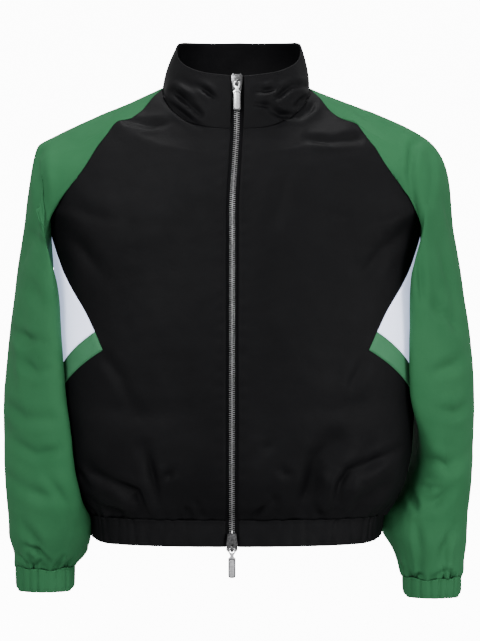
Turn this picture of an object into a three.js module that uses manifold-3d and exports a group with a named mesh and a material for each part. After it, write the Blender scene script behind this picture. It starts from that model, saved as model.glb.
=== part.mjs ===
// Track jacket, filled out as when worn: black body, green raglan sleeves, white side insets.
// Millimetres, +Z up, the front faces -Y. The origin is the middle of the neck, level with the
// top of the shoulders. A table gives one side of the jacket, with x as the distance outwards.
import * as THREE from 'three';
import { mergeVertices } from 'three/addons/utils/BufferGeometryUtils.js';
import Module from 'manifold-3d';

// Walls and gaps
const CLOTH_WALL = 1.5;
const COLLAR_WALL = 2.4;
const BAND_WALL = 2.6;
const WELT_WALL = 2.3;
const WELT_PROUD = 0.8;
const SEAM_GAP = 0.32;
const SLEEVE_CLEAR = 5.5;
const PUSH_SOFTNESS = 5;

// Heights
const HEM_BOTTOM = -621;
const HEM_TOP = -586;
const UNDERARM = -245;
const NECK_FRONT = -64;

// Torso sections: superellipses of this power, deeper in front than behind.
const SECTION_POWER = 2.4;
const TORSO = [
  // z, half width, depth in front, depth behind
  [-621, 201, 120, 112],
  [-590, 204, 119, 113],
  [-565, 222, 133, 126],
  [-530, 236, 146, 138],
  [-480, 243, 150, 142],
  [-400, 247.5, 150, 142],
  [-320, 250, 148, 140],
  [-245, 251, 142, 142],
  [-205, 256.5, 138, 141],
  [-150, 262, 128, 135],
  [-100, 268, 112, 124],
  [-64, 272, 98, 113],
  [5, 280, 84, 72],
];

// The zip leans a little across the front.
const ZIP_LINE = [
  // z, x
  [-640, -5.2],
  [-180, -4.8],
  [-100, -0.8],
  [-60, 1.2],
  [10, 1.4],
];
const ZIP_EDGE = 8;
const ZIP_HALF = 4.3;
const ZIP_THICK = 4.2;
const TAPE_INNER = 4.6;
const TAPE_OUTER = 7.6;
const TAPE_SUNK = 1.0;
const TAPE_WALL = 0.8;

// Pocket welt: two slanted lines round the side, in degrees from the front and in height.
const WELT_UPPER = { angle: 45.3, z: -336, sideZ: -418 };
const WELT_LOWER = { angle: 41.6, z: -360, sideZ: -447 };
const WELT_STEPS = 4;

// Seam from the welt's inner end up to the raglan seam
const DIAGONAL_SEAM = [
  // degrees from the front, z
  [45.3, -336],
  [50.5, -309],
  [60.7, -273],
  [70.5, -241],
  [76.9, -205],
];

// Raglan seams, from the underarm end up to the neck
const RAGLAN_FRONT = [
  // x, y, z
  [251, -65, -175],
  [242, -74, -160],
  [228, -81, -144],
  [213, -85, -128],
  [199, -84, -108],
  [187, -78, -87],
  [174, -69, -69],
  [160, -60, -51],
  [142, -57, -46],
  [128, -46, -35],
  [114, -29, -16],
  [101, -12, -2],
];
const RAGLAN_BACK = [
  // x, y, z
  [251.5, 28, -228],
  [250, 50, -205],
  [246, 65, -178],
  [236, 76, -148],
  [219, 80, -122],
  [200, 80, -99],
  [180, 77, -76],
  [158, 71, -53],
  [136, 62, -33],
  [115, 51, -12],
  [97, 40, 3],
];
const NECK_SIDE = [
  // x, y, z
  [101, 5, 1],
  [99, 23, 3],
];

// How high each seam point's row starts at the middle of the front and of the back
const FRONT_LEVELS = [
  // z at the seam, z at the zip
  [-586, -586],
  [-447, -450],
  [-360, -375],
  [-336, -350],
  [-205, -235],
  [-146, -180],
  [-92, -130],
  [-47, -95],
  [-2, -64],
];
const BACK_LEVELS = [
  // z at the seam, z at the middle
  [-586, -586],
  [-245, -250],
  [-175, -190],
  [-105, -125],
  [-45, -52],
  [3, 5],
];

// Sleeves hang as flattened tubes. The tilt turns a section about the upright, and the curl bends its
// front and back towards the body.
const SLEEVES = {
  right: {
    sign: -1,
    cornerPull: 0.35,
    shoulderCurl: 6,
    cuffTop: -658,
    sections: [
      // z, x of the middle, half thickness, half depth, tilt, y of the middle, curl
      [-200, 272, 22, 95, 8, 0, 12],
      [-290, 278, 28, 96, 12, -4, 12],
      [-417, 279, 38, 88, 17, -12, 16],
      [-490, 275, 42, 79, 18, -22, 24],
      [-560, 266, 48, 70, 20, -30, 20],
      [-610, 258.5, 52, 58, 18, -26, 6],
      [-640, 258.5, 45, 48, 15, -20, 0],
      [-658, 259.5, 43, 40, 10, -17, 0],
    ],
    cuff: { bottom: -690, x: 261.5, y: -17, halfWidth: 41, halfDepth: 36 },
  },
  left: {
    sign: 1,
    cornerPull: 0.95,
    shoulderCurl: 16,
    cuffTop: -675,
    sections: [
      // z, x of the middle, half thickness, half depth, tilt, y of the middle, curl
      [-200, 277, 23, 95, 8, 0, 26],
      [-290, 284, 32, 96, 8, 2, 30],
      [-417, 289, 40, 86, 2, 6, 44],
      [-506, 288, 41, 78, -8, 26, 20],
      [-541, 281, 45, 72, -12, 28, 6],
      [-590, 268, 54, 62, -10, 24, 0],
      [-624, 267, 53, 54, -8, 18, 0],
      [-658, 270, 46, 44, -5, 14, 0],
      [-675, 272, 44, 40, 0, 12, 0],
    ],
    cuff: { bottom: -702, x: 271, y: 12, halfWidth: 41, halfDepth: 36 },
  },
};

// Columns round a sleeve and the angle that each faces: 0 towards the body, 90 forwards.
const SLEEVE_FACING = [
  // column, degrees
  [0, 0],
  [4, 35],
  [8, 80],
  [13, 130],
  [17.5, 180],
  [22, 230],
  [26, 280],
  [30, 360],
];

// Collar: its top edge is a ring, level at the back and sides, that drops towards the front.
const COLLAR_TOP = { x: 4, y: -10, halfWidth: 86, halfDepth: 72 };
const COLLAR_HEIGHTS = [
  // degrees from the front, z
  [0, 7],
  [30, 13],
  [55, 24],
  [72, 36],
  [85, 50],
  [97, 60],
  [120, 66],
  [180, 70],
];
const COLLAR_ROWS = 5;
const COLLAR_BELLY = 3;
const COLLAR_LEAN = (98 - 82) / 71.5;

// Gathers
const HEM_WAVES_SIDE = 15;
const HEM_WAVES_BACK = 30;
const CUFF_WAVES = 18;
const GATHER_STEPS = 3;
const GATHER_DEPTH = 1.6;

// Largest folds: soft troughs along a line
const FOLDS = [
  // x1, y1, z1, x2, y2, z2, half width, depth
  // Lower front
  [-196, -98, -520, -122, -138, -563, 15, 4],
  [-122, -146, -488, -92, -138, -568, 14, 4],
  [130, -142, -480, 92, -140, -575, 19, 6],
  [180, -112, -500, 150, -128, -560, 16, 5],
  // Upper chest
  [-140, -74, -46, -92, -98, -48, 10, 3],
  [100, -104, -70, 165, -86, -70, 10, 3],
  // Lower back
  [-150, 118, -520, -110, 126, -568, 16, 4],
  [60, 138, -505, 84, 130, -570, 16, 4],
  [170, 104, -500, 150, 112, -560, 16, 4],
  [-60, 140, -340, 70, 138, -352, 22, 3],
  // Wearer's right sleeve
  [-272, -44, -92, -266, -84, -170, 12, 5],
  [-266, -84, -186, -290, -40, -228, 14, 4],
  [-300, -60, -330, -262, -72, -372, 18, 4],
  [-312, -40, -470, -256, -80, -500, 18, 4],
  [-306, 50, -380, -270, 70, -420, 18, 4],
  // Wearer's left sleeve
  [268, -52, -94, 262, -84, -160, 10, 3],
  [300, -62, -238, 276, -88, -300, 14, 4],
  [318, -40, -330, 280, -80, -310, 16, 4],
  [300, -50, -500, 272, -40, -560, 18, 5],
  [314, 60, -400, 280, 100, -440, 18, 4],
];

// Slider and pull tab, with z along the chain and -y away from the body
const SLIDER = { half: 7.4, neckHalf: 5.6, up: 12, down: 12, front: 3.3, back: 7.5 };
const CHANNEL = { half: 4.75, front: 0.4, back: 4.75 };
const TAPE_SLOT = { front: 0.5, back: 2.3 };
const POST = { half: 2, from: 6.5, to: 11 };
const BRIDGE = { width: 3, reach: 5, high: 4.4, hollowReach: 3.4, hollowHigh: 2.7 };
const PULL = { thick: 1.6, ringHalf: 4.3, holeHalf: 2.6, bar: 0.85, holeLong: 5, neckHalf: 2.4 };
const PULL_TAB = { half: 4.9, top: -13, bottom: -39, round: 3.6 };
const SLIDERS = {
  top: { z: -1.5, bridgeZ: -1, postUp: true },
  bottom: { z: -615.5, bridgeZ: -7, postUp: false },
};
const SNAP = { angle: 78, radius: 5, high: 2, gap: 0.35 };

const rad = THREE.MathUtils.degToRad;
const lerp = THREE.MathUtils.lerp;
const vec = (x, y, z) => new THREE.Vector3(x, y, z);

// A smooth curve through a table's points that never overshoots them.
function smoothCurve(xs, ys) {
  const last = xs.length - 1;
  const steps = xs.slice(1).map((x, i) => x - xs[i]);
  const slopes = steps.map((step, i) => (ys[i + 1] - ys[i]) / step);
  const tangents = [slopes[0]];
  for (let i = 1; i < last; i++) {
    const before = slopes[i - 1];
    const after = slopes[i];
    const weightBefore = 2 * steps[i] + steps[i - 1];
    const weightAfter = steps[i] + 2 * steps[i - 1];
    const level = before * after <= 0;
    tangents.push(level ? 0 : (weightBefore + weightAfter) / (weightBefore / before + weightAfter / after));
  }
  tangents.push(slopes[last - 1]);
  return (x) => {
    let i = 0;
    while (i < last - 1 && x > xs[i + 1]) i++;
    const t = THREE.MathUtils.clamp((x - xs[i]) / steps[i], 0, 1);
    const squared = t * t;
    const cubed = squared * t;
    return (2 * cubed - 3 * squared + 1) * ys[i] + (cubed - 2 * squared + t) * steps[i] * tangents[i]
      + (3 * squared - 2 * cubed) * ys[i + 1] + (cubed - squared) * steps[i] * tangents[i + 1];
  };
}

// The curve of one column of a table against its first column, whichever way the table runs
function tableCurve(table, column) {
  const rows = [...table].sort((a, b) => a[0] - b[0]);
  return smoothCurve(rows.map((row) => row[0]), rows.map((row) => row[column]));
}

const halfWidth = tableCurve(TORSO, 1);
const frontDepth = tableCurve(TORSO, 2);
const backDepth = tableCurve(TORSO, 3);
const zipX = tableCurve(ZIP_LINE, 1);
const frontLevel = tableCurve(FRONT_LEVELS, 1);
const backLevel = tableCurve(BACK_LEVELS, 1);
const collarHeight = tableCurve(COLLAR_HEIGHTS, 1);
const sleeveFacing = tableCurve(SLEEVE_FACING, 1);

const across = (angle) => Math.sin(angle) ** (2 / SECTION_POWER);
const along = (angle) => Math.cos(angle) ** (2 / SECTION_POWER);

// A point on the front half of the torso, at an angle from the front
function torsoPoint(degrees, z) {
  const angle = rad(Math.min(degrees, 90));
  const y = degrees >= 90 ? 0 : -frontDepth(z) * along(angle);
  return vec(halfWidth(z) * across(angle), y, z);
}

function evenly(count, make) {
  return Array.from({ length: count + 1 }, (_, i) => make(i / count));
}

// Seams of one side, each a list of points that the pieces on both sides share
const weltLine = (line) => evenly(WELT_STEPS, (t) => (
  torsoPoint(lerp(line.angle, 90, t), lerp(line.z, line.sideZ, t))));
const SEAM_MEETING = DIAGONAL_SEAM.at(-1);
const seams = {
  weltUpper: weltLine(WELT_UPPER),
  weltLower: weltLine(WELT_LOWER),
  sideLow: evenly(6, (t) => torsoPoint(90, lerp(HEM_TOP, WELT_LOWER.sideZ, t))),
  sideHigh: evenly(4, (t) => torsoPoint(90, lerp(WELT_UPPER.sideZ, UNDERARM, t))),
  diagonal: DIAGONAL_SEAM.map(([angle, z]) => torsoPoint(angle, z)),
  hidden: evenly(4, (t) => torsoPoint(lerp(SEAM_MEETING[0], 90, t), lerp(SEAM_MEETING[1], UNDERARM, t))),
  raglanFront: RAGLAN_FRONT.map((row) => vec(...row)),
  raglanBack: RAGLAN_BACK.map((row) => vec(...row)),
  neckSide: NECK_SIDE.map((row) => vec(...row)),
};
const frontEdge = [
  ...seams.sideLow,
  ...seams.weltLower.toReversed().slice(1),
  ...seams.diagonal,
  ...seams.raglanFront,
];
const backEdge = [
  ...seams.sideLow,
  ...seams.sideHigh,
  ...seams.raglanBack,
];
const sleeveEdge = [
  ...seams.hidden.toReversed(),
  ...seams.raglanFront,
  ...seams.neckSide,
  ...seams.raglanBack.toReversed(),
];

// A row of a panel: an arc from the middle line, at height z, to a point on the panel's edge
function arcRow(edge, z, depth, firstX, turns) {
  const reach = edge.x / (1 - (Math.abs(edge.y) / depth) ** SECTION_POWER) ** (1 / SECTION_POWER);
  const angleAt = (x) => Math.asin((x / reach) ** (SECTION_POWER / 2));
  const start = angleAt(firstX);
  const end = angleAt(edge.x);
  return turns.map((turn) => {
    const angle = lerp(start, end, turn);
    const share = (1 - Math.cos(angle - start)) / (1 - Math.cos(end - start));
    if (turn === 1) return edge.clone();
    const side = Math.sign(edge.y || -1);
    return vec(reach * across(angle), side * depth * along(angle), lerp(z, edge.z, share));
  });
}

const mirrored = (points, sign) => points.map((point) => vec(sign * point.x, point.y, point.z));

// Leans a row of the front so that it starts at the zip.
function leanToZip(row) {
  const start = Math.abs(row[0].x);
  const end = Math.abs(row.at(-1).x);
  const shift = zipX(row[0].z);
  return row.map((point) => {
    const fade = (end - Math.abs(point.x)) / (end - start);
    return vec(point.x + shift * fade, point.y, point.z);
  });
}

const FRONT_TURNS = [0, 0.1, 0.24, 0.38, 0.52, 0.66, 0.8, 0.9, 1];
const BACK_TURNS = [0, 0.16, 0.32, 0.48, 0.64, 0.8, 0.9, 1];

function frontGrid(sign) {
  return frontEdge.map((edge) => {
    const z = frontLevel(edge.z);
    const row = arcRow(edge, z, frontDepth(z), ZIP_EDGE, FRONT_TURNS);
    return leanToZip(mirrored(row, sign));
  });
}

function backGrid() {
  return backEdge.map((edge) => {
    const z = backLevel(edge.z);
    const behind = vec(edge.x, Math.max(edge.y, 1e-6), edge.z);
    const half = arcRow(behind, z, backDepth(z), 0, BACK_TURNS);
    half[half.length - 1] = edge.clone();
    return [...mirrored(half, -1).toReversed(), ...half.slice(1)];
  });
}

// The inset fills the corner between the diagonal seam, the welt, the side seam and the sleeve.
// Its four edges are given as angles from the front and heights.
function insetGrid(sign) {
  const underarm = new THREE.Vector2(90, UNDERARM);
  const sideLow = new THREE.Vector2(90, WELT_UPPER.sideZ);
  const steps = WELT_STEPS;
  return evenly(steps, (v) => {
    const inner = new THREE.Vector2(...DIAGONAL_SEAM[Math.round((1 - v) * steps)]);
    const row = evenly(steps, (u) => {
      const place = inner.clone().lerp(underarm.clone().lerp(sideLow, v), u);
      return torsoPoint(place.x, place.y);
    });
    return mirrored(row, sign);
  });
}

const weltGrid = (sign) => [mirrored(seams.weltUpper, sign), mirrored(seams.weltLower, sign)];

// A sleeve section's point, kept clear of the torso beside it
function sleevePoint(sleeve, facing, z) {
  const [x, thick, deep, tilt, y, curl] = [1, 2, 3, 4, 5, 6].map((column) => sleeve.curves[column](z));
  const inwards = -thick * Math.cos(facing);
  const forwards = -deep * Math.sin(facing);
  const turned = rad(tilt);
  const point = vec(
    x + inwards * Math.cos(turned) + forwards * Math.sin(turned) - curl * Math.sin(facing) ** 2,
    y - inwards * Math.sin(turned) + forwards * Math.cos(turned),
    z,
  );
  return clearOfTorso(point);
}

function clearOfTorso(point) {
  const z = Math.max(point.z, HEM_BOTTOM);
  const deep = (point.y < 0 ? frontDepth(z) : backDepth(z)) + SLEEVE_CLEAR;
  const share = Math.abs(point.y) / deep;
  if (share >= 1) return point;
  const limit = (halfWidth(z) + SLEEVE_CLEAR) * (1 - share ** SECTION_POWER) ** (1 / SECTION_POWER);
  const below = THREE.MathUtils.clamp((HEM_BOTTOM - 12 - point.z) / 30, 0, 1);
  const wanted = limit - 60 * below;
  const difference = point.x - wanted;
  point.x = wanted + (difference + Math.hypot(difference, PUSH_SOFTNESS)) / 2;
  return point;
}

// Ring where the sleeve turns over the shoulder, from the underarm up to the shoulder's corner
function shoulderPoint(sleeve, facing) {
  const curl = sleeve.shoulderCurl * Math.max(Math.sin(facing), 0) ** 2;
  return vec(267 - 4 * Math.cos(facing) - curl, -86 * Math.sin(facing), -170.5 - 91.5 * Math.cos(facing));
}

function hermite(from, to, leaving, arriving, t) {
  const squared = t * t;
  const cubed = squared * t;
  return from.clone().multiplyScalar(2 * cubed - 3 * squared + 1)
    .addScaledVector(leaving, cubed - 2 * squared + t)
    .addScaledVector(to, 3 * squared - 2 * cubed)
    .addScaledVector(arriving, cubed - squared);
}

const SLEEVE_STRETCHES = [4, 3, 1];
const SLEEVE_ROWS = 9;
const SLANTED = { z: -250, swing: 45 };
const LEVEL = { z: -332, swing: 12 };

function sleeveGrid(side) {
  const sleeve = SLEEVES[side];
  sleeve.curves = [null, 1, 2, 3, 4, 5, 6].map((column) => column && tableCurve(sleeve.sections, column));
  const columns = sleeveEdge.map((edge, column) => {
    const facing = rad(sleeveFacing(column));
    const slanted = SLANTED.z - SLANTED.swing * Math.cos(facing);
    const level = LEVEL.z - LEVEL.swing * Math.cos(facing);
    const stops = [
      edge,
      shoulderPoint(sleeve, facing),
      sleevePoint(sleeve, facing, slanted),
      sleevePoint(sleeve, facing, level),
    ];
    const after = sleevePoint(sleeve, facing, level - 40);
    const pulls = stops.map((stop, i) => {
      const before = stops[i - 1] ?? stop;
      const next = stops[i + 1] ?? after;
      return next.clone().sub(before).multiplyScalar(i === 0 ? 1 : 0.5);
    });
    pulls[1].multiplyScalar(sleeve.cornerPull);
    pulls[3].multiplyScalar(0.9);
    const points = [];
    SLEEVE_STRETCHES.forEach((count, i) => {
      for (let k = 0; k < count; k++) {
        points.push(hermite(stops[i], stops[i + 1], pulls[i], pulls[i + 1], k / count));
      }
    });
    for (let k = 0; k <= SLEEVE_ROWS; k++) {
      points.push(sleevePoint(sleeve, facing, lerp(level, sleeve.cuffTop, k / SLEEVE_ROWS)));
    }
    return points;
  });
  return columns[0].map((_, row) => mirrored(columns.map((column) => column[row]), sleeve.sign));
}

// Gathered tube of a cuff
function cuffGrid(side) {
  const { sign, cuffTop, cuff } = SLEEVES[side];
  const count = CUFF_WAVES * GATHER_STEPS;
  return [0, 0.5, 1].map((t) => {
    const grow = GATHER_DEPTH * (0.6 + 0.8 * Math.abs(t - 0.5));
    return evenly(count, (share) => {
      const angle = 2 * Math.PI * share;
      const ripple = grow * Math.cos(CUFF_WAVES * angle + t);
      return vec(
        sign * (cuff.x - (cuff.halfWidth + ripple) * Math.cos(angle)),
        cuff.y - (cuff.halfDepth + ripple) * Math.sin(angle),
        lerp(cuffTop - SEAM_GAP, cuff.bottom, t),
      );
    }).slice(0, count);
  });
}

// One length of the gathered hem band, between two angles from the front
function bandGrid(from, to, waves) {
  const levels = [HEM_TOP - SEAM_GAP, (HEM_TOP + HEM_BOTTOM) / 2, HEM_BOTTOM];
  return levels.map((z, level) => evenly(waves * GATHER_STEPS, (t) => {
    const degrees = lerp(from, to, t);
    const angle = rad(Math.abs(degrees));
    const deep = angle <= Math.PI / 2 ? frontDepth(z) : backDepth(z);
    const ripple = GATHER_DEPTH * (level === 1 ? 0.6 : 1) * (Math.cos(2 * Math.PI * waves * t) - 1) / 2;
    const wide = halfWidth(z) + ripple;
    const cosine = Math.cos(angle);
    const sine = Math.sin(rad(degrees));
    return vec(
      Math.sign(sine) * wide * Math.abs(sine) ** (2 / SECTION_POWER),
      -Math.sign(cosine) * (deep + ripple) * Math.abs(cosine) ** (2 / SECTION_POWER),
      z,
    );
  }));
}

function frontBandGrid(sign) {
  const wide = halfWidth(HEM_BOTTOM);
  const start = THREE.MathUtils.radToDeg(Math.asin((ZIP_EDGE / wide) ** (SECTION_POWER / 2)));
  return bandGrid(sign * start, sign * 90, HEM_WAVES_SIDE).map((row) => {
    const leaned = leanToZip(row);
    leaned[0].x = zipX(row[0].z) + sign * ZIP_EDGE;
    return leaned;
  });
}

// A point of the collar's top edge, above a point of the neck seam
function collarTopPoint(base) {
  const turn = Math.atan2(base.x / 104, -(base.y + 10) / 84);
  const { x, y, halfWidth: wide, halfDepth: deep } = COLLAR_TOP;
  const z = collarHeight(THREE.MathUtils.radToDeg(Math.abs(turn)));
  return vec(x + wide * Math.sin(turn), y - deep * Math.cos(turn), z);
}

function collarGrid(frontGrids, back) {
  const half = (sign) => [
    ...frontGrids[sign].at(-1),
    ...mirrored(seams.neckSide, sign),
  ];
  const base = [...half(-1), ...back.at(-1), ...half(1).toReversed()];
  return evenly(COLLAR_ROWS, (t) => base.map((point, j) => {
    const end = j === 0 || j === base.length - 1;
    const endHeight = collarTopPoint(base[1]).z - 0.5;
    const top = end ? zipPoint(endHeight, Math.sign(point.x) * ZIP_EDGE) : collarTopPoint(point);
    const middle = point.clone().lerp(top, t);
    const belly = end ? 0 : COLLAR_BELLY * Math.sin(Math.PI * t);
    const away = vec(middle.x - COLLAR_TOP.x, middle.y - COLLAR_TOP.y, 0).normalize();
    return middle.addScaledVector(away, belly);
  }));
}

// A point on the zip's line, on the front face of the cloth
function zipPoint(z, sideways) {
  const y = z <= NECK_FRONT ? -frontDepth(z) : -frontDepth(NECK_FRONT) + COLLAR_LEAN * (z - NECK_FRONT);
  return vec(zipX(z) + sideways, y, z);
}

// Folds press the cloth in along a line, and fade out at its ends.
function foldDepth(point) {
  const from = vec(0, 0, 0);
  const line = new THREE.Line3();
  let depth = 0;
  for (const [x1, y1, z1, x2, y2, z2, wide, deep] of FOLDS) {
    line.set(vec(x1, y1, z1), vec(x2, y2, z2));
    line.closestPointToPoint(point, true, from);
    depth += deep * Math.exp(-(((from.distanceTo(point)) / wide) ** 2));
  }
  return depth;
}

const keyOf = (point) => [point.x, point.y, point.z].map((value) => Math.round(value * 50)).join(',');

// Area-weighted normals, shared by all pieces that meet at a point
function sharedNormals(pieces) {
  const normals = new Map();
  const edgeA = vec(0, 0, 0);
  const edgeB = vec(0, 0, 0);
  for (const piece of pieces) {
    for (const [a, b, c] of triangles(piece)) {
      edgeA.subVectors(b, a);
      edgeB.subVectors(c, a);
      const normal = edgeA.clone().cross(edgeB);
      for (const corner of [a, b, c]) {
        const key = keyOf(corner);
        normals.set(key, (normals.get(key) ?? vec(0, 0, 0)).add(normal));
      }
    }
  }
  return (point) => normals.get(keyOf(point)).clone().normalize();
}

function* quads(rows, columns, wrap) {
  for (let i = 0; i < rows - 1; i++) {
    for (let j = 0; j < (wrap ? columns : columns - 1); j++) {
      yield [[i, j], [i, (j + 1) % columns], [i + 1, (j + 1) % columns], [i + 1, j]];
    }
  }
}

// The piece's outer triangles, wound so that they face outwards
function* triangles(piece) {
  const { grid, wrap, flip } = piece;
  for (const corners of quads(grid.length, grid[0].length, wrap)) {
    const [a, b, c, d] = corners.map(([i, j]) => grid[i][j]);
    yield flip ? [a, c, b] : [a, b, c];
    yield flip ? [a, d, c] : [a, c, d];
  }
}

function facesInwards(piece) {
  const { grid, wrap, axis } = piece;
  let sum = 0;
  for (const [a, b, c] of triangles({ grid, wrap, flip: false })) {
    const normal = b.clone().sub(a).cross(c.clone().sub(a));
    sum += normal.dot(vec(a.x - axis[0], a.y - axis[1], 0));
  }
  return sum < 0;
}

// Directions from an edge point into its piece, square to each edge that it is on
function waysInwards(grid, wrap, i, j) {
  const lastRow = grid.length - 1;
  const lastColumn = grid[0].length - 1;
  const ways = [];
  const addWay = (before, after, next) => {
    const tangent = after.clone().sub(before).normalize();
    const way = next.clone().sub(grid[i][j]);
    ways.push(way.addScaledVector(tangent, -way.dot(tangent)).normalize());
  };
  if (i === 0 || i === lastRow) {
    const next = grid[i === 0 ? 1 : lastRow - 1][j];
    addWay(grid[i][Math.max(j - 1, 0)], grid[i][Math.min(j + 1, lastColumn)], next);
  }
  if (!wrap && (j === 0 || j === lastColumn)) {
    const next = grid[i][j === 0 ? 1 : lastColumn - 1];
    addWay(grid[Math.max(i - 1, 0)][j], grid[Math.min(i + 1, lastRow)][j], next);
  }
  return ways;
}

// How sharply a seam turns: 0 where the pieces run on smoothly, 1 where they lie back to back
function sharpness(own, shared) {
  return THREE.MathUtils.clamp((0.4 - own.dot(shared)) / 0.3, 0, 1);
}

// Turns an outer grid into a closed wall of cloth.
function wallGeometry(piece, normalAt) {
  const { grid, wrap, flip, wall, proud = 0, level = [] } = piece;
  const rows = grid.length;
  const columns = grid[0].length;
  const ownNormalAt = sharedNormals([piece]);
  const outer = [];
  const inner = [];
  for (let i = 0; i < rows; i++) {
    for (let j = 0; j < columns; j++) {
      const normal = normalAt(grid[i][j]);
      const levelEdge = level.includes(i === 0 ? 'first' : i === rows - 1 ? 'last' : '');
      const ways = waysInwards(grid, wrap, i, j).filter((way) => !(levelEdge && Math.abs(way.z) > 0.7));
      const own = ownNormalAt(grid[i][j]);
      const sharp = levelEdge ? 0 : sharpness(own, normal);
      normal.lerp(own, sharp).normalize();
      if (levelEdge) normal.setZ(0).normalize();
      const face = grid[i][j].clone().addScaledVector(normal, proud - sharp * SEAM_GAP / 2);
      ways.forEach((way) => face.addScaledVector(way, SEAM_GAP / 2));
      outer.push(face);
      inner.push(face.clone().addScaledVector(normal, -wall));
    }
  }
  const positions = [...outer, ...inner].flatMap((point) => point.toArray());
  const count = rows * columns;
  const index = [];
  const quad = (a, b, c, d) => (flip ? index.push(a, c, b, a, d, c) : index.push(a, b, c, a, c, d));
  for (const corners of quads(rows, columns, wrap)) {
    const [a, b, c, d] = corners.map(([i, j]) => i * columns + j);
    quad(a, b, c, d);
    quad(count + d, count + c, count + b, count + a);
  }
  const points = grid.flat();
  const rim = (a, b) => {
    const lowFirst = points[a].z - points[b].z || points[a].y - points[b].y || points[a].x - points[b].x;
    if (lowFirst < 0) quad(a, count + a, count + b, b);
    else quad(b, a, count + a, count + b);
  };
  for (let j = 0; j < (wrap ? columns : columns - 1); j++) {
    const next = (j + 1) % columns;
    rim(j, next);
    rim((rows - 1) * columns + next, (rows - 1) * columns + j);
  }
  if (!wrap) {
    for (let i = 0; i < rows - 1; i++) {
      rim((i + 1) * columns, i * columns);
      rim(i * columns + columns - 1, (i + 1) * columns + columns - 1);
    }
  }
  const geometry = new THREE.BufferGeometry();
  geometry.setAttribute('position', new THREE.Float32BufferAttribute(positions, 3));
  geometry.setIndex(index);
  geometry.computeVertexNormals();
  return geometry;
}

// Finishes
const finish = (color, roughness, metalness) => () => (
  new THREE.MeshStandardMaterial({ color, roughness, metalness }));
const blackCloth = finish(0x1a1a1c, 0.7, 0);
const greenCloth = finish(0x3f7a52, 0.65, 0);
const whiteCloth = finish(0xdce2f2, 0.65, 0);
const metal = finish(0xa9abae, 0.35, 0.9);

// Cloth pieces, by name
const fronts = { [-1]: frontGrid(-1), [1]: frontGrid(1) };
const back = backGrid();
const TORSO_AXIS = [0, 0];
const clothPieces = [
  { name: 'front_right', grid: fronts[-1], material: blackCloth, level: ['first'] },
  { name: 'front_left', grid: fronts[1], material: blackCloth, level: ['first'] },
  { name: 'back', grid: back, material: blackCloth, level: ['first'] },
  { name: 'side_inset_right', grid: insetGrid(-1), material: whiteCloth },
  { name: 'side_inset_left', grid: insetGrid(1), material: whiteCloth },
  { name: 'pocket_welt_right', grid: weltGrid(-1), material: greenCloth, wall: WELT_WALL, proud: WELT_PROUD },
  { name: 'pocket_welt_left', grid: weltGrid(1), material: greenCloth, wall: WELT_WALL, proud: WELT_PROUD },
  { name: 'collar', grid: collarGrid(fronts, back), material: blackCloth, wall: COLLAR_WALL },
  { name: 'hem_band_front_right', grid: frontBandGrid(-1), material: blackCloth, band: true },
  { name: 'hem_band_front_left', grid: frontBandGrid(1), material: blackCloth, band: true },
  { name: 'hem_band_back', grid: bandGrid(90, 270, HEM_WAVES_BACK), material: blackCloth, band: true },
];
for (const side of ['right', 'left']) {
  const { sign, cuff } = SLEEVES[side];
  const grid = sleeveGrid(side).map((row) => row.slice(0, -1));
  clothPieces.push({
    name: `sleeve_${side}`,
    grid,
    wrap: true,
    axis: [sign * 275, 0],
    level: ['last'],
    material: greenCloth,
  });
  clothPieces.push({
    name: `cuff_${side}`,
    grid: cuffGrid(side),
    wrap: true,
    axis: [sign * cuff.x, cuff.y],
    band: true,
    material: greenCloth,
  });
}

// Winds, folds and thickens the cloth pieces.
function makeCloth(pieces) {
  for (const piece of pieces) {
    piece.axis ??= TORSO_AXIS;
    piece.wrap ??= false;
    piece.wall ??= piece.band ? BAND_WALL : CLOTH_WALL;
    if (piece.band) piece.level = ['first', 'last'];
    piece.flip = facesInwards(piece);
  }
  const plain = sharedNormals(pieces);
  for (const piece of pieces) {
    const lastRow = piece.grid.length - 1;
    piece.grid = piece.grid.map((row, i) => row.map((point) => {
      const levelEdge = piece.level?.includes(i === 0 ? 'first' : i === lastRow ? 'last' : '');
      return levelEdge ? point : point.clone().addScaledVector(plain(point), -foldDepth(point));
    }));
  }
  const folded = sharedNormals(pieces);
  return pieces.map((piece) => {
    const mesh = new THREE.Mesh(wallGeometry(piece, folded), piece.material());
    mesh.name = piece.name;
    return mesh;
  });
}

// Zip: a tape each side and a bar for the closed teeth, along the zip's line
const zipLevels = [HEM_BOTTOM, -604, ...fronts[1].map((row) => row[0].z), -48, -32, -16, -5, 3];

function stripGeometry(levels, from, to, front, behind) {
  const positions = [];
  const index = [];
  levels.forEach((z, i) => {
    for (const [sideways, sunk] of [[from, front], [to, front], [to, behind], [from, behind]]) {
      const point = zipPoint(z, sideways);
      positions.push(point.x, point.y + sunk, point.z);
    }
    if (i === 0) return;
    const low = 4 * (i - 1);
    const high = 4 * i;
    for (let k = 0; k < 4; k++) {
      const next = (k + 1) % 4;
      index.push(low + k, low + next, high + next, low + k, high + next, high + k);
    }
  });
  const top = 4 * (levels.length - 1);
  index.push(0, 2, 1, 0, 3, 2, top, top + 1, top + 2, top, top + 2, top + 3);
  const geometry = new THREE.BufferGeometry();
  geometry.setAttribute('position', new THREE.Float32BufferAttribute(positions, 3));
  geometry.setIndex(index);
  geometry.computeVertexNormals();
  return geometry;
}

function namedMesh(name, geometry, material) {
  const mesh = new THREE.Mesh(geometry, material());
  mesh.name = name;
  return mesh;
}

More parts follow.
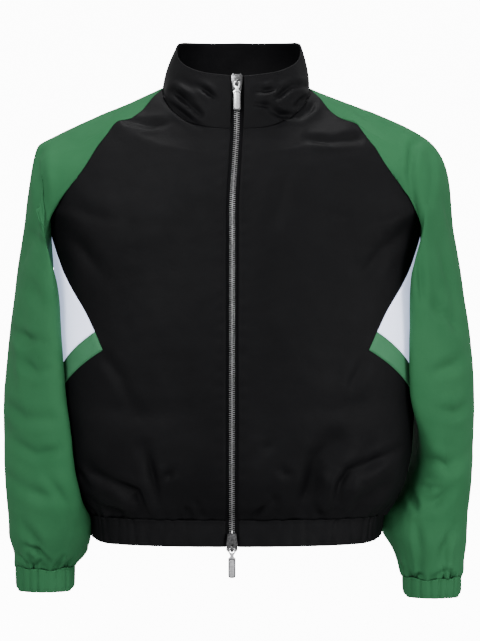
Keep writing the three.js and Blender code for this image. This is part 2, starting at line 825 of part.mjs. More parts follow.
function makeZip() {
  const teethLevels = [-610, ...zipLevels.filter((z) => z > -600 && z < -10), -6];
  const tape = (from, to) => stripGeometry(zipLevels, from, to, TAPE_SUNK, TAPE_SUNK + TAPE_WALL);
  return [
    namedMesh('zip_tape_right', tape(-TAPE_OUTER, -TAPE_INNER), blackCloth),
    namedMesh('zip_tape_left', tape(TAPE_INNER, TAPE_OUTER), blackCloth),
    namedMesh('zip_teeth', stripGeometry(teethLevels, -ZIP_HALF, ZIP_HALF, 0.1, 0.1 + ZIP_THICK), metal),
  ];
}

const wasm = await Module();
wasm.setup();

function toSolid(geometry) {
  const bare = geometry.index ? geometry.clone() : geometry;
  bare.deleteAttribute('normal');
  bare.deleteAttribute('uv');
  const merged = mergeVertices(bare, 1e-4);
  return new wasm.Manifold(new wasm.Mesh({
    numProp: 3,
    vertProperties: new Float32Array(merged.attributes.position.array),
    triVerts: new Uint32Array(merged.index.array),
  }));
}

function toGeometry(solid) {
  const mesh = solid.getMesh();
  const geometry = new THREE.BufferGeometry();
  geometry.setAttribute('position', new THREE.BufferAttribute(new Float32Array(mesh.vertProperties), 3));
  geometry.setIndex([...mesh.triVerts]);
  geometry.computeVertexNormals();
  return geometry;
}

// A block between two corners
function block(x1, x2, y1, y2, z1, z2) {
  const geometry = new THREE.BoxGeometry(x2 - x1, y2 - y1, z2 - z1);
  return geometry.translate((x1 + x2) / 2, (y1 + y2) / 2, (z1 + z2) / 2);
}

// A flat outline of x and z, given thickness from y1 to y2
function plate(shape, y1, y2) {
  const geometry = new THREE.ExtrudeGeometry(shape, { depth: y2 - y1, bevelEnabled: false, curveSegments: 5 });
  return geometry.rotateX(Math.PI / 2).translate(0, y2, 0);
}

function sliderShape(postUp) {
  const { half, neckHalf, up, down } = SLIDER;
  const wide = postUp ? up : -down;
  const narrow = postUp ? -down : up;
  const step = Math.sign(wide);
  const shape = new THREE.Shape();
  shape.moveTo(-neckHalf, narrow);
  shape.lineTo(neckHalf, narrow);
  shape.lineTo(half, wide - step * 9);
  shape.lineTo(half, wide - step * 3);
  shape.lineTo(half - 2.5, wide);
  shape.lineTo(2.2, wide - step * 2);
  shape.lineTo(-2.2, wide - step * 2);
  shape.lineTo(-half + 2.5, wide);
  shape.lineTo(-half, wide - step * 3);
  shape.lineTo(-half, wide - step * 9);
  shape.closePath();
  return shape;
}

// The bridge's arch, in y and z, as a ring cut by the slider's front face
function bridgeSolid(bridgeZ) {
  const arch = (reach, high, wide) => {
    const geometry = new THREE.CylinderGeometry(1, 1, wide, 16);
    geometry.rotateZ(Math.PI / 2).scale(1, high, reach);
    return geometry.translate(0, -SLIDER.front, bridgeZ);
  };
  const outer = toSolid(arch(BRIDGE.reach, BRIDGE.high, BRIDGE.width));
  const inner = toSolid(arch(BRIDGE.hollowReach, BRIDGE.hollowHigh, BRIDGE.width + 2));
  const behind = toSolid(block(-9, 9, -SLIDER.front + 0.8, 20, bridgeZ - 20, bridgeZ + 20));
  return outer.subtract(inner).subtract(behind);
}

function sliderGeometry({ bridgeZ, postUp }) {
  const body = toSolid(plate(sliderShape(postUp), -SLIDER.front, SLIDER.back));
  const long = 2 * SLIDER.up;
  const channel = toSolid(block(-CHANNEL.half, CHANNEL.half, -CHANNEL.front, CHANNEL.back, -long, long));
  const slot = toSolid(block(-20, 20, TAPE_SLOT.front, TAPE_SLOT.back, -long, long));
  const [low, high] = postUp ? [POST.from, POST.to] : [-POST.to, -POST.from];
  const post = toSolid(block(-POST.half, POST.half, -SLIDER.front + 0.6, SLIDER.back - 0.6, low, high));
  const hollowed = body.subtract(channel).subtract(slot);
  return toGeometry(hollowed.add(post).add(bridgeSolid(bridgeZ)));
}

// The tab hangs from the bridge by its eye. Its pivot is its own origin.
function pullGeometry() {
  const { ringHalf, holeHalf, bar, holeLong, neckHalf, thick } = PULL;
  const { half, top, bottom, round } = PULL_TAB;
  const ringEnd = -bar - holeLong - 1.7;
  const shape = new THREE.Shape();
  shape.moveTo(-ringHalf + 1.5, bar);
  shape.lineTo(ringHalf - 1.5, bar);
  shape.quadraticCurveTo(ringHalf, bar, ringHalf, bar - 1.5);
  shape.lineTo(ringHalf, ringEnd + 1.5);
  shape.lineTo(neckHalf, ringEnd - 1);
  shape.lineTo(neckHalf, top + 2);
  shape.lineTo(half, top);
  shape.lineTo(half, bottom + round);
  shape.quadraticCurveTo(half, bottom, half - round, bottom);
  shape.lineTo(-half + round, bottom);
  shape.quadraticCurveTo(-half, bottom, -half, bottom + round);
  shape.lineTo(-half, top);
  shape.lineTo(-neckHalf, top + 2);
  shape.lineTo(-neckHalf, ringEnd - 1);
  shape.lineTo(-ringHalf, ringEnd + 1.5);
  shape.lineTo(-ringHalf, bar - 1.5);
  shape.quadraticCurveTo(-ringHalf, bar, -ringHalf + 1.5, bar);
  const hole = new THREE.Path();
  hole.moveTo(-holeHalf, -bar);
  hole.lineTo(-holeHalf, -bar - holeLong + 1.5);
  hole.quadraticCurveTo(-holeHalf, -bar - holeLong, 0, -bar - holeLong);
  hole.quadraticCurveTo(holeHalf, -bar - holeLong, holeHalf, -bar - holeLong + 1.5);
  hole.lineTo(holeHalf, -bar);
  hole.closePath();
  shape.holes.push(hole);
  return mergeVertices(stripped(plate(shape, -thick / 2, thick / 2)), 1e-4);
}

function stripped(geometry) {
  geometry.deleteAttribute('normal');
  geometry.deleteAttribute('uv');
  return geometry;
}

// Each slider rides on the zip's line, turned to its lean, with its pull tab on its bridge.
function makeSliders() {
  const meshes = [];
  for (const [place, slider] of Object.entries(SLIDERS)) {
    const lean = slider.z > NECK_FRONT ? -Math.atan(COLLAR_LEAN) : 0;
    const group = new THREE.Group();
    group.position.copy(zipPoint(slider.z, 0));
    group.rotation.x = lean;
    const pull = namedMesh(`pull_${place}`, pullGeometry(), metal);
    pull.position.set(0, -SLIDER.front - BRIDGE.hollowHigh / 2, slider.bridgeZ);
    group.add(namedMesh(`slider_${place}`, sliderGeometry(slider), metal), pull);
    meshes.push(group);
  }
  return meshes;
}

// Domed cap of a snap, standing on the welt near the side
function makeSnap(side) {
  const { sign } = SLEEVES[side];
  const share = (line) => (SNAP.angle - line.angle) / (90 - line.angle);
  const heightOn = (line) => lerp(line.z, line.sideZ, share(line));
  const z = (heightOn(WELT_UPPER) + heightOn(WELT_LOWER)) / 2;
  const seat = torsoPoint(SNAP.angle, z);
  const round = torsoPoint(SNAP.angle + 2, z).sub(torsoPoint(SNAP.angle - 2, z));
  const upwards = torsoPoint(SNAP.angle, z + 5).sub(torsoPoint(SNAP.angle, z - 5));
  const normal = round.cross(upwards).normalize();
  const { radius, high, gap } = SNAP;
  const profile = [
    new THREE.Vector2(0, 0),
    new THREE.Vector2(radius - 0.4, 0),
    new THREE.Vector2(radius, 0.6),
    new THREE.Vector2(radius - 1, high - 0.4),
    new THREE.Vector2(0, high),
  ];
  const snap = namedMesh(`snap_${side}`, new THREE.LatheGeometry(profile, 16), metal);
  const place = seat.addScaledVector(normal, WELT_PROUD + gap);
  snap.position.set(sign * place.x, place.y, place.z);
  snap.quaternion.setFromUnitVectors(vec(0, 1, 0), vec(sign * normal.x, normal.y, normal.z));
  return snap;
}

const jacket = new THREE.Group();
jacket.add(...makeCloth(clothPieces), ...makeZip(), ...makeSliders(), makeSnap('right'), makeSnap('left'));

export default jacket;
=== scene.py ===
import math

import bmesh
import bpy
import numpy as np
from mathutils import Euler, Matrix, Vector


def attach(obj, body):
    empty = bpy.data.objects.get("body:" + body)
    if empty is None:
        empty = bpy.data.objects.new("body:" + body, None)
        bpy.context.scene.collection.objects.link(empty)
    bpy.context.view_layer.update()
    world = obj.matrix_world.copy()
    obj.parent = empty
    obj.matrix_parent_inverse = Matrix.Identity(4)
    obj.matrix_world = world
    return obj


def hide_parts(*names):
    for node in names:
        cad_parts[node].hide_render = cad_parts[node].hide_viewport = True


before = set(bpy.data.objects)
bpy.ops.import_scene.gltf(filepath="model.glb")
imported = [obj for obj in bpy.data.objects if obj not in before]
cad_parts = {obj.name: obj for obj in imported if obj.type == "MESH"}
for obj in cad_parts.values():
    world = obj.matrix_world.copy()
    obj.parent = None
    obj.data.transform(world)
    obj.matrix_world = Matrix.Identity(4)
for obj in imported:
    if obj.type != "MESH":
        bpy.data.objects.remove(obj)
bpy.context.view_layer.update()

# Tables and sizes below are in millimetres, as in the part's source. Meshes are made in metres.
MM = 0.001
ROOT = "jacket"

# Walls and edges
CLOTH_WALL = 1.1
COLLAR_WALL = 2.2
BAND_WALL = 2.2
WELT_WALL = 2.0
WELT_PROUD = 0.9
SLEEVE_CLEAR = 2.0
EDGE_ROLL = 0.75
SOFT_ROLL = 0.35
SEAM_OVERLAP = 0.3

# Heights
HEM_BOTTOM = -621
HEM_TOP = -586
UNDERARM = -245
NECK_FRONT = -64

# Torso sections: superellipses of this power, deeper in front than behind
SECTION_POWER = 2.4
TORSO = [
    # z, half width, depth in front, depth behind
    (-621, 201, 120, 112),
    (-590, 204, 119, 113),
    (-565, 222, 133, 126),
    (-530, 236, 146, 138),
    (-480, 243, 150, 142),
    (-400, 247.5, 150, 142),
    (-320, 250, 148, 140),
    (-245, 251, 142, 142),
    (-205, 256.5, 138, 141),
    (-150, 262, 128, 135),
    (-100, 268, 112, 124),
    (-64, 272, 98, 113),
    (5, 280, 84, 72),
]
ZIP_LINE = [
    # z, x
    (-640, -5.2),
    (-180, -4.8),
    (-100, -0.8),
    (-60, 1.2),
    (10, 1.4),
]
ZIP_EDGE = 8
COLLAR_LEAN = (98 - 82) / 71.5

# Pocket welt: two slanted lines round the side, in degrees from the front and in height
WELT_UPPER = dict(angle=45.3, z=-336, side_z=-418)
WELT_LOWER = dict(angle=41.6, z=-360, side_z=-447)
DIAGONAL_SEAM = [
    # degrees from the front, z
    (45.3, -336),
    (50.5, -309),
    (60.7, -273),
    (70.5, -241),
    (76.9, -205),
]
RAGLAN_FRONT = [
    # x, y, z
    (251, -65, -175),
    (242, -74, -160),
    (228, -81, -144),
    (213, -85, -128),
    (199, -84, -108),
    (187, -78, -87),
    (174, -69, -69),
    (160, -60, -51),
    (142, -57, -46),
    (128, -46, -35),
    (114, -29, -16),
    (101, -12, -2),
]
RAGLAN_BACK = [
    # x, y, z
    (251.5, 28, -228),
    (250, 50, -205),
    (246, 65, -178),
    (236, 76, -148),
    (219, 80, -122),
    (200, 80, -99),
    (180, 77, -76),
    (158, 71, -53),
    (136, 62, -33),
    (115, 51, -12),
    (97, 40, 3),
]
NECK_SIDE = [
    # x, y, z
    (101, 5, 1),
    (99, 23, 3),
]
FRONT_LEVELS = [
    # z at the seam, z at the zip
    (-586, -586),
    (-447, -450),
    (-360, -375),
    (-336, -350),
    (-205, -235),
    (-146, -180),
    (-92, -130),
    (-47, -95),
    (-2, -64),
]
BACK_LEVELS = [
    # z at the seam, z at the middle
    (-586, -586),
    (-245, -250),
    (-175, -190),
    (-105, -125),
    (-45, -52),
    (3, 5),
]
SLEEVES = {
    "right": dict(
        sign=-1,
        corner_pull=0.35,
        shoulder_curl=6,
        underarm_near=8,
        cuff_top=-658,
        sections=[
            # z, x of the middle, half thickness, half depth, tilt, y of the middle, curl
            (-200, 272, 22, 95, 8, 0, 12),
            (-290, 278, 28, 96, 12, -4, 12),
            (-417, 279, 38, 88, 17, -12, 16),
            (-490, 275, 42, 79, 18, -22, 24),
            (-560, 266, 48, 70, 20, -30, 20),
            (-610, 258.5, 52, 58, 18, -26, 6),
            (-640, 258.5, 45, 48, 15, -20, 0),
            (-658, 259.5, 43, 40, 10, -17, 0),
        ],
        cuff=dict(bottom=-690, x=261.5, y=-17, half_width=41, half_depth=36),
    ),
    "left": dict(
        sign=1,
        corner_pull=0.95,
        shoulder_curl=16,
        underarm_near=4,
        cuff_top=-675,
        sections=[
            # z, x of the middle, half thickness, half depth, tilt, y of the middle, curl
            (-200, 277, 23, 95, 8, 0, 26),
            (-290, 284, 32, 96, 8, 2, 30),
            (-417, 289, 40, 86, 2, 6, 44),
            (-506, 288, 41, 78, -8, 26, 20),
            (-541, 281, 45, 72, -12, 28, 6),
            (-590, 268, 54, 62, -10, 24, 0),
            (-624, 267, 53, 54, -8, 18, 0),
            (-658, 270, 46, 44, -5, 14, 0),
            (-675, 272, 44, 40, 0, 12, 0),
        ],
        cuff=dict(bottom=-702, x=271, y=12, half_width=41, half_depth=36),
    ),
}
SLEEVE_FACING = [
    # column, degrees
    (0, 0),
    (4, 35),
    (8, 80),
    (13, 130),
    (17.5, 180),
    (22, 230),
    (26, 280),
    (30, 360),
]
SHOULDER_RING = dict(x=267, lean=4, half_depth=86, z=-170.5, half_height=91.5)
SLANTED = dict(z=-250, swing=45)
LEVEL = dict(z=-332, swing=12)
COLLAR_TOP = dict(x=4, y=-10, half_width=86, half_depth=72)
COLLAR_HEIGHTS = [
    # degrees from the front, z
    (0, 7),
    (30, 13),
    (55, 24),
    (72, 36),
    (85, 50),
    (97, 60),
    (120, 66),
    (180, 70),
]
COLLAR_BELLY = 3

HEM_WAVES_SIDE = 15
HEM_WAVES_BACK = 30
CUFF_WAVES = 18
CUFF_DRAW_HEIGHT = 9
CUFF_NARROWING = 1.6
# How the lower edge of a band rounds up at its sides, seen from the front
CUFF_CORNER = dict(reach=8, high=7)
HEM_CORNER = dict(reach=34, high=11)
GATHER_DEPTH = 1.6
# Where the inner side of each sleeve swells towards the body: middle height, reach, depth
INNER_PUFFS = {
    "right": [(-615, 30, 19), (-588, 14, 7), (-574, 13, 10)],
    "left": [(-608, 18, 15), (-588, 14, 7)],
}
# Where each sleeve presses the body's side in: middle height, reach, depth
SIDE_TUCKS = {
    "right": [(-600, 26, 5)],
    "left": [(-600, 26, 5)],
}

# How finely the cloth is divided
SEAM_STEPS = 8
FRONT_COLUMNS = 104
BACK_COLUMNS = 74
SLEEVE_STRETCHES = (26, 18, 10)
SLEEVE_ROWS = 120
COLLAR_ROWS = 40


def smooth_curve(xs, ys):
    """A smooth curve through a table's points that never overshoots them."""
    xs = np.asarray(xs, float)
    ys = np.asarray(ys, float)
    steps = np.diff(xs)
    slopes = np.diff(ys) / steps
    tangents = np.empty_like(ys)
    tangents[0] = slopes[0]
    tangents[-1] = slopes[-1]
    for i in range(1, len(xs) - 1):
        before, after = slopes[i - 1], slopes[i]
        weight_before = 2 * steps[i] + steps[i - 1]
        weight_after = steps[i] + 2 * steps[i - 1]
        level = before * after <= 0
        tangents[i] = 0 if level else (weight_before + weight_after) / (
            weight_before / before + weight_after / after)

    def curve(x):
        x = np.asarray(x, float)
        i = np.clip(np.searchsorted(xs, x, side="right") - 1, 0, len(xs) - 2)
        t = np.clip((x - xs[i]) / steps[i], 0, 1)
        return ((2 * t**3 - 3 * t**2 + 1) * ys[i] + (t**3 - 2 * t**2 + t) * steps[i] * tangents[i]
                + (3 * t**2 - 2 * t**3) * ys[i + 1] + (t**3 - t**2) * steps[i] * tangents[i + 1])

    return curve


def table_curve(table, column):
    """The curve of one column of a table against its first column"""
    rows = sorted(table)
    return smooth_curve([row[0] for row in rows], [row[column] for row in rows])


half_width = table_curve(TORSO, 1)
front_depth = table_curve(TORSO, 2)
back_depth = table_curve(TORSO, 3)
zip_x = table_curve(ZIP_LINE, 1)
front_level = table_curve(FRONT_LEVELS, 1)
collar_height = table_curve(COLLAR_HEIGHTS, 1)
back_level = table_curve(BACK_LEVELS, 1)
sleeve_facing = table_curve(SLEEVE_FACING, 1)


def power_sin(angle):
    return np.sign(np.sin(angle)) * np.abs(np.sin(angle)) ** (2 / SECTION_POWER)


def power_cos(angle):
    return np.sign(np.cos(angle)) * np.abs(np.cos(angle)) ** (2 / SECTION_POWER)


def lerp(a, b, t):
    return a + (b - a) * t


def smooth_step(low, high, x):
    t = np.clip((x - low) / (high - low), 0, 1)
    return t * t * (3 - 2 * t)


def points(*columns):
    return np.stack(np.broadcast_arrays(*[np.asarray(c, float) for c in columns]), axis=-1)


def torso_points(degrees, z):
    """Points on the front half of the torso, at angles from the front"""
    degrees = np.minimum(np.asarray(degrees, float), 90)
    angle = np.radians(degrees)
    y = np.where(degrees >= 90 - 1e-9, 0, -front_depth(z) * power_cos(angle))
    return points(half_width(z) * power_sin(angle), y, z)


def through(knots, steps=SEAM_STEPS):
    """Even steps along a smooth curve through the knots"""
    knots = np.asarray(knots, float)
    index = np.arange(len(knots))
    at = np.linspace(0, len(knots) - 1, (len(knots) - 1) * steps + 1)
    return points(*[smooth_curve(index, knots[:, k])(at) for k in range(knots.shape[1])])


def join_runs(*runs):
    """Runs that meet end to end, without the doubled points"""
    return np.concatenate([runs[0]] + [run[1:] for run in runs[1:]])


def mirrored(cloth, sign):
    return cloth * np.array([sign, 1, 1])


# Seams of one side, which the pieces on both sides share
def slanted_line(line):
    t = np.linspace(0, 1, 4 * SEAM_STEPS + 1)
    return torso_points(lerp(line["angle"], 90, t), lerp(line["z"], line["side_z"], t))


def upright_line(low, high, count):
    t = np.linspace(0, 1, count * SEAM_STEPS + 1)
    return torso_points(90, lerp(low, high, t))


welt_upper = slanted_line(WELT_UPPER)
welt_lower = slanted_line(WELT_LOWER)
t_short = np.linspace(0, 1, SEAM_STEPS + 1)
welt_end = torso_points(lerp(WELT_LOWER["angle"], WELT_UPPER["angle"], t_short),
                        lerp(WELT_LOWER["z"], WELT_UPPER["z"], t_short))
welt_side = upright_line(WELT_LOWER["side_z"], WELT_UPPER["side_z"], 1)
side_low = upright_line(HEM_TOP, WELT_LOWER["side_z"], 6)
side_high = upright_line(WELT_UPPER["side_z"], UNDERARM, 4)
diagonal_places = through(DIAGONAL_SEAM)
diagonal = torso_points(diagonal_places[:, 0], diagonal_places[:, 1])
t_hidden = np.linspace(0, 1, 4 * SEAM_STEPS + 1)
hidden = torso_points(lerp(76.9, 90, t_hidden), lerp(-205, UNDERARM, t_hidden))
raglan_front = through([tuple(diagonal[-1])] + RAGLAN_FRONT)
raglan_back = through([tuple(hidden[-1])] + RAGLAN_BACK)
neck_side = through([RAGLAN_FRONT[-1]] + NECK_SIDE + [RAGLAN_BACK[-1]])

front_edge = join_runs(side_low, welt_lower[::-1], welt_end, diagonal, raglan_front)
back_edge = join_runs(side_low, welt_side, side_high, raglan_back)
sleeve_edge = join_runs(hidden[::-1], raglan_front, neck_side, raglan_back[::-1])


def arc_row(edge, z, depth, first_x, turns):
    """A row of a panel: an arc from the middle line, at height z, to a point on the panel's edge"""
    x, y, edge_z = edge
    reach = x / (1 - (abs(y) / depth) ** SECTION_POWER) ** (1 / SECTION_POWER)
    start = math.asin((first_x / reach) ** (SECTION_POWER / 2))
    end = math.asin(min((x / reach) ** (SECTION_POWER / 2), 1))
    angle = lerp(start, end, turns)
    share = (1 - np.cos(angle - start)) / (1 - math.cos(end - start))
    side = 1 if y > 0 else -1
    row = points(reach * power_sin(angle), side * depth * power_cos(angle), lerp(z, edge_z, share))
    row[-1] = edge
    return row


def edge_turns(count, near_start=True):
    """Shares from 0 to 1 with narrow steps at the ends, where the cloth rolls into its seam"""
    inner = np.linspace(0.012 if near_start else 0, 0.988, count)
    ends = ([0, 0.005] if near_start else []) + list(inner) + [0.995, 1]
    return np.array(ends)


def lean_to_zip(row):
    """Leans a row of the front so that it starts at the zip."""
    start, end = abs(row[0, 0]), abs(row[-1, 0])
    fade = (end - np.abs(row[:, 0])) / (end - start)
    row[:, 0] += zip_x(row[0, 2]) * fade
    return row


def front_grid(sign):
    turns = edge_turns(FRONT_COLUMNS)
    rows = []
    for edge in front_edge:
        z = float(front_level(edge[2]))
        rows.append(lean_to_zip(mirrored(arc_row(edge, z, float(front_depth(z)), ZIP_EDGE, turns), sign)))
    return np.array(rows)


def back_grid():
    turns = edge_turns(BACK_COLUMNS, near_start=False)
    rows = []
    for edge in back_edge:
        z = float(back_level(edge[2]))
        behind = (edge[0], max(edge[1], 1e-6), edge[2])
        half = arc_row(behind, z, float(back_depth(z)), 0, turns)
        half[-1] = edge
        rows.append(np.concatenate([mirrored(half, -1)[::-1], half[1:]]))
    return np.array(rows)


def inset_grid(sign):
    """The inset, between the diagonal seam, the welt, the side seam and the sleeve"""
    across = np.linspace(0, 1, 4 * SEAM_STEPS + 1)
    rows = []
    for v, (angle, z) in zip(across, diagonal_places[::-1]):
        side_z = lerp(UNDERARM, WELT_UPPER["side_z"], v)
        rows.append(torso_points(lerp(angle, 90, across), lerp(z, side_z, across)))
    return mirrored(np.array(rows), sign)


def welt_grid(sign):
    down = np.array([0, 0.06, 0.2, 0.35, 0.5, 0.65, 0.8, 0.94, 1])
    return mirrored(np.array([lerp(welt_upper, welt_lower, t) for t in down]), sign)


def clear_of_torso(cloth, tuck=0):
    """Keeps a sleeve's points clear of the torso beside it, which the sleeve tucks in."""
    x, y, z = np.moveaxis(cloth, -1, 0)
    level = np.maximum(z, HEM_BOTTOM)
    deep = np.where(y < 0, front_depth(level), back_depth(level)) + SLEEVE_CLEAR
    share = np.abs(y) / deep
    beside = share < 1
    widest = half_width(level) + SLEEVE_CLEAR
    limit = widest * (1 - np.minimum(share, 1) ** SECTION_POWER) ** (1 / SECTION_POWER)
    below = np.clip((HEM_BOTTOM - 12 - z) / 30, 0, 1)
    wanted = limit - 60 * below - tuck
    difference = x - wanted
    pushed = wanted + (difference + np.sqrt(difference**2 + 5**2)) / 2
    return points(np.where(beside, pushed, x), y, z)


def sleeve_points(curves, facing, z, puff=0, tuck=0):
    x, thick, deep, tilt, y, curl = [curve(z) for curve in curves]
    inwards = -thick * np.cos(facing) - puff * np.maximum(np.cos(facing), 0) ** 3
    forwards = -deep * np.sin(facing)
    turned = np.radians(tilt)
    return clear_of_torso(points(
        x + inwards * np.cos(turned) + forwards * np.sin(turned) - curl * np.sin(facing) ** 2,
        y - inwards * np.sin(turned) + forwards * np.cos(turned),
        z), tuck)


def hermite(start, end, leaving, arriving, t):
    return ((2 * t**3 - 3 * t**2 + 1) * start + (t**3 - 2 * t**2 + t) * leaving
            + (3 * t**2 - 2 * t**3) * end + (t**3 - t**2) * arriving)


def sleeve_grid(side):
    sleeve = SLEEVES[side]
    curves = [table_curve(sleeve["sections"], column) for column in range(1, 7)]
    edge = sleeve_edge[:-1]
    facing = np.radians(sleeve_facing(np.arange(len(edge)) / SEAM_STEPS))
    slanted = SLANTED["z"] - SLANTED["swing"] * np.cos(facing)
    level = LEVEL["z"] - LEVEL["swing"] * np.cos(facing)
    curl = sleeve["shoulder_curl"] * np.maximum(np.sin(facing), 0) ** 2
    near = sleeve["underarm_near"] * np.maximum(np.cos(facing), 0) ** 2
    shoulder = points(
        SHOULDER_RING["x"] - SHOULDER_RING["lean"] * np.cos(facing) - near - curl,
        -SHOULDER_RING["half_depth"] * np.sin(facing),
        SHOULDER_RING["z"] - SHOULDER_RING["half_height"] * np.cos(facing))
    stops = [edge, shoulder, sleeve_points(curves, facing, slanted), sleeve_points(curves, facing, level)]
    after = sleeve_points(curves, facing, level - 40)
    line = [stops[0]] + stops + [after]
    pulls = [(line[i + 2] - line[i]) * (1 if i == 0 else 0.5) for i in range(4)]
    pulls[1] = pulls[1] * sleeve["corner_pull"]
    pulls[3] = pulls[3] * 0.9
    rows = []
    for i, count in enumerate(SLEEVE_STRETCHES):
        shares = np.linspace(0, 1, count + 1)[:-1]
        if i == 0:
            shares = np.insert(shares, 1, shares[1] * np.array([0.12, 0.3]))
        rows += [hermite(stops[i], stops[i + 1], pulls[i], pulls[i + 1], t) for t in shares]
    for t in list(np.linspace(0, 0.99, SLEEVE_ROWS)) + [0.996, 1]:
        z = lerp(level, sleeve["cuff_top"], t)
        puff = swell(INNER_PUFFS[side], z)
        tuck = swell(SIDE_TUCKS[side], z)
        rows.append(sleeve_points(curves, facing, z, puff, tuck))
    return drawn_into_cuff(side, mirrored(np.array(rows), sleeve["sign"]))


def swell(rows, z):
    """The sum of soft swellings, each with its middle height, reach and depth"""
    return sum(deep * np.exp(-(((z - middle) / reach) ** 2)) for middle, reach, deep in rows) + 0 * z


def drawn_into_cuff(side, grid):
    """The end of the sleeve narrows onto the cuff, and its gathers run on from the cuff's"""
    sleeve = SLEEVES[side]
    cuff = sleeve["cuff"]
    height = grid[..., 2] - sleeve["cuff_top"]
    angle = np.arctan2((cuff["y"] - grid[..., 1]) / cuff["half_depth"],
                       (cuff["x"] - sleeve["sign"] * grid[..., 0]) / cuff["half_width"])
    level = grid[..., 2] + cuff_seam_wave(angle)
    drawn = cuff_points(side, angle, 0.2 + cuff_ripple(angle, 0) + 0.3 * height, level)
    share = np.exp(-((height / CUFF_DRAW_HEIGHT) ** 2))[..., None]
    return lerp(grid, drawn, share)


def collar_top_points(base):
    turn = np.arctan2(base[:, 0] / 104, -(base[:, 1] + 10) / 84)
    top = COLLAR_TOP
    return points(top["x"] + top["half_width"] * np.sin(turn), top["y"] - top["half_depth"] * np.cos(turn),
                  collar_height(np.degrees(np.abs(turn))))


def zip_points(z, sideways=0):
    z = np.asarray(z, float)
    on_collar = -float(front_depth(NECK_FRONT)) + COLLAR_LEAN * (z - NECK_FRONT)
    return points(zip_x(z) + sideways, np.where(z <= NECK_FRONT, -front_depth(z), on_collar), z)


def collar_grid(fronts, back):
    def half(sign):
        return join_runs(fronts[sign][-1], mirrored(neck_side, sign))
    base = join_runs(half(-1), back[-1], half(1)[::-1])
    top = collar_top_points(base)
    ends = np.zeros(len(base))
    ends[[0, -1]] = 1
    for i, sign in ((0, -1), (-1, 1)):
        near = 1 if i == 0 else -2
        top[i] = zip_points(top[near][2] - 0.5, sign * ZIP_EDGE)
    rows = []
    for t in edge_turns(COLLAR_ROWS):
        middle = lerp(base, top, t)
        away = middle - np.array([COLLAR_TOP["x"], COLLAR_TOP["y"], 0])
        away[:, 2] = 0
        away /= np.linalg.norm(away, axis=1)[:, None]
        belly = COLLAR_BELLY * math.sin(math.pi * t) * (1 - ends)
        rows.append(middle + away * belly[:, None])
    return np.array(rows)


def band_grid(start, end, waves, ripple_at):
    """One length of the gathered hem band, between two angles from the front"""
    degrees = np.linspace(start, end, waves * 10 + 1)
    angle = np.radians(degrees)
    t = np.linspace(0, 1, len(degrees))
    rows = []
    for down in (0, 0.03, 0.1, 0.2, 0.3, 0.4, 0.5, 0.6, 0.7, 0.8, 0.9, 0.97, 1):
        z = lerp(HEM_TOP - 0.32, HEM_BOTTOM, down)
        deep = np.where(np.cos(angle) > 0, front_depth(z), back_depth(z))
        ripple = ripple_at(t * waves, down)
        lift = corner_lift(power_sin(angle), float(half_width(z)), HEM_CORNER) * down**1.5
        rows.append(points((half_width(z) + ripple) * power_sin(angle), -(deep + ripple) * power_cos(angle),
                           z + lift))
    return np.array(rows)


def uneven_ripple(phase, down):
    """Gathers of one band, uneven in width and depth, that pinch at both of its edges"""
    shift = 0.22 * np.sin(1.7 * phase + 0.6) + 0.16 * np.sin(0.83 * phase * 2 + 1.9 + 2 * down)
    depth = GATHER_DEPTH * (0.75 + 0.35 * np.sin(2.3 * phase + 0.8) * np.cos(0.9 * phase))
    pinch = 0.65 + 0.35 * np.cos(2 * np.pi * down)
    valley = ((1 + np.cos(2 * np.pi * (phase + shift))) / 2) ** 2
    return -1.1 * depth * pinch * valley


def front_band_grid(sign):
    start = math.degrees(math.asin((ZIP_EDGE / float(half_width(HEM_BOTTOM))) ** (SECTION_POWER / 2)))
    grid = band_grid(sign * start, sign * 90, HEM_WAVES_SIDE, uneven_ripple)
    for row in grid:
        z = row[0, 2]
        lean_to_zip(row)
        row[0, 0] = float(zip_x(z)) + sign * ZIP_EDGE
    return grid


def corner_lift(across, half, corner):
    """How far an edge rises near its side, as a quarter round of the corner's reach and height"""
    near = np.clip((np.abs(across) * half - (half - corner["reach"])) / corner["reach"], 0, 1)
    return corner["high"] * (1 - np.sqrt(1 - near**2))


def cuff_seam_wave(angle):
    """The seam between sleeve and cuff isn't level: its gathers pull it up and down."""
    return 1.3 * np.sin(3 * angle + 0.5) + 1.0 * np.sin(7 * angle + 2)


def cuff_ripple(angle, down):
    """Gathers of a cuff: narrow valleys, uneven in place and depth, softer half way down"""
    shift = 0.9 * np.sin(3 * angle + 1) + 0.5 * np.sin(5 * angle + 2 + down)
    uneven = 0.75 + 0.4 * np.sin(4 * angle + 0.7) * np.cos(7 * angle)
    valley = ((1 + np.cos(CUFF_WAVES * angle + shift)) / 2) ** 3
    return GATHER_DEPTH * uneven * (0.7 + 0.6 * abs(down - 0.5)) * (0.4 - 1.5 * valley)


def cuff_points(side, angle, outwards, z):
    sleeve = SLEEVES[side]
    cuff = sleeve["cuff"]
    return points(sleeve["sign"] * (cuff["x"] - (cuff["half_width"] + outwards) * np.cos(angle)),
                  cuff["y"] - (cuff["half_depth"] + outwards) * np.sin(angle), z)


def cuff_grid(side):
    sleeve = SLEEVES[side]
    cuff = sleeve["cuff"]
    angle = np.linspace(0, 2 * np.pi, CUFF_WAVES * 12, endpoint=False)
    rows = []
    for down in (0, 0.03, 0.1, 0.2, 0.3, 0.4, 0.5, 0.6, 0.7, 0.8, 0.9, 0.97, 1):
        z = lerp(sleeve["cuff_top"] - 0.32, cuff["bottom"], down)
        ripple = cuff_ripple(angle, down) - CUFF_NARROWING * down**4
        lift = corner_lift(np.cos(angle), cuff["half_width"], CUFF_CORNER) * down**2
        rows.append(cuff_points(side, angle, ripple, z + lift + cuff_seam_wave(angle) * (1 - down) ** 2))
    return np.array(rows)


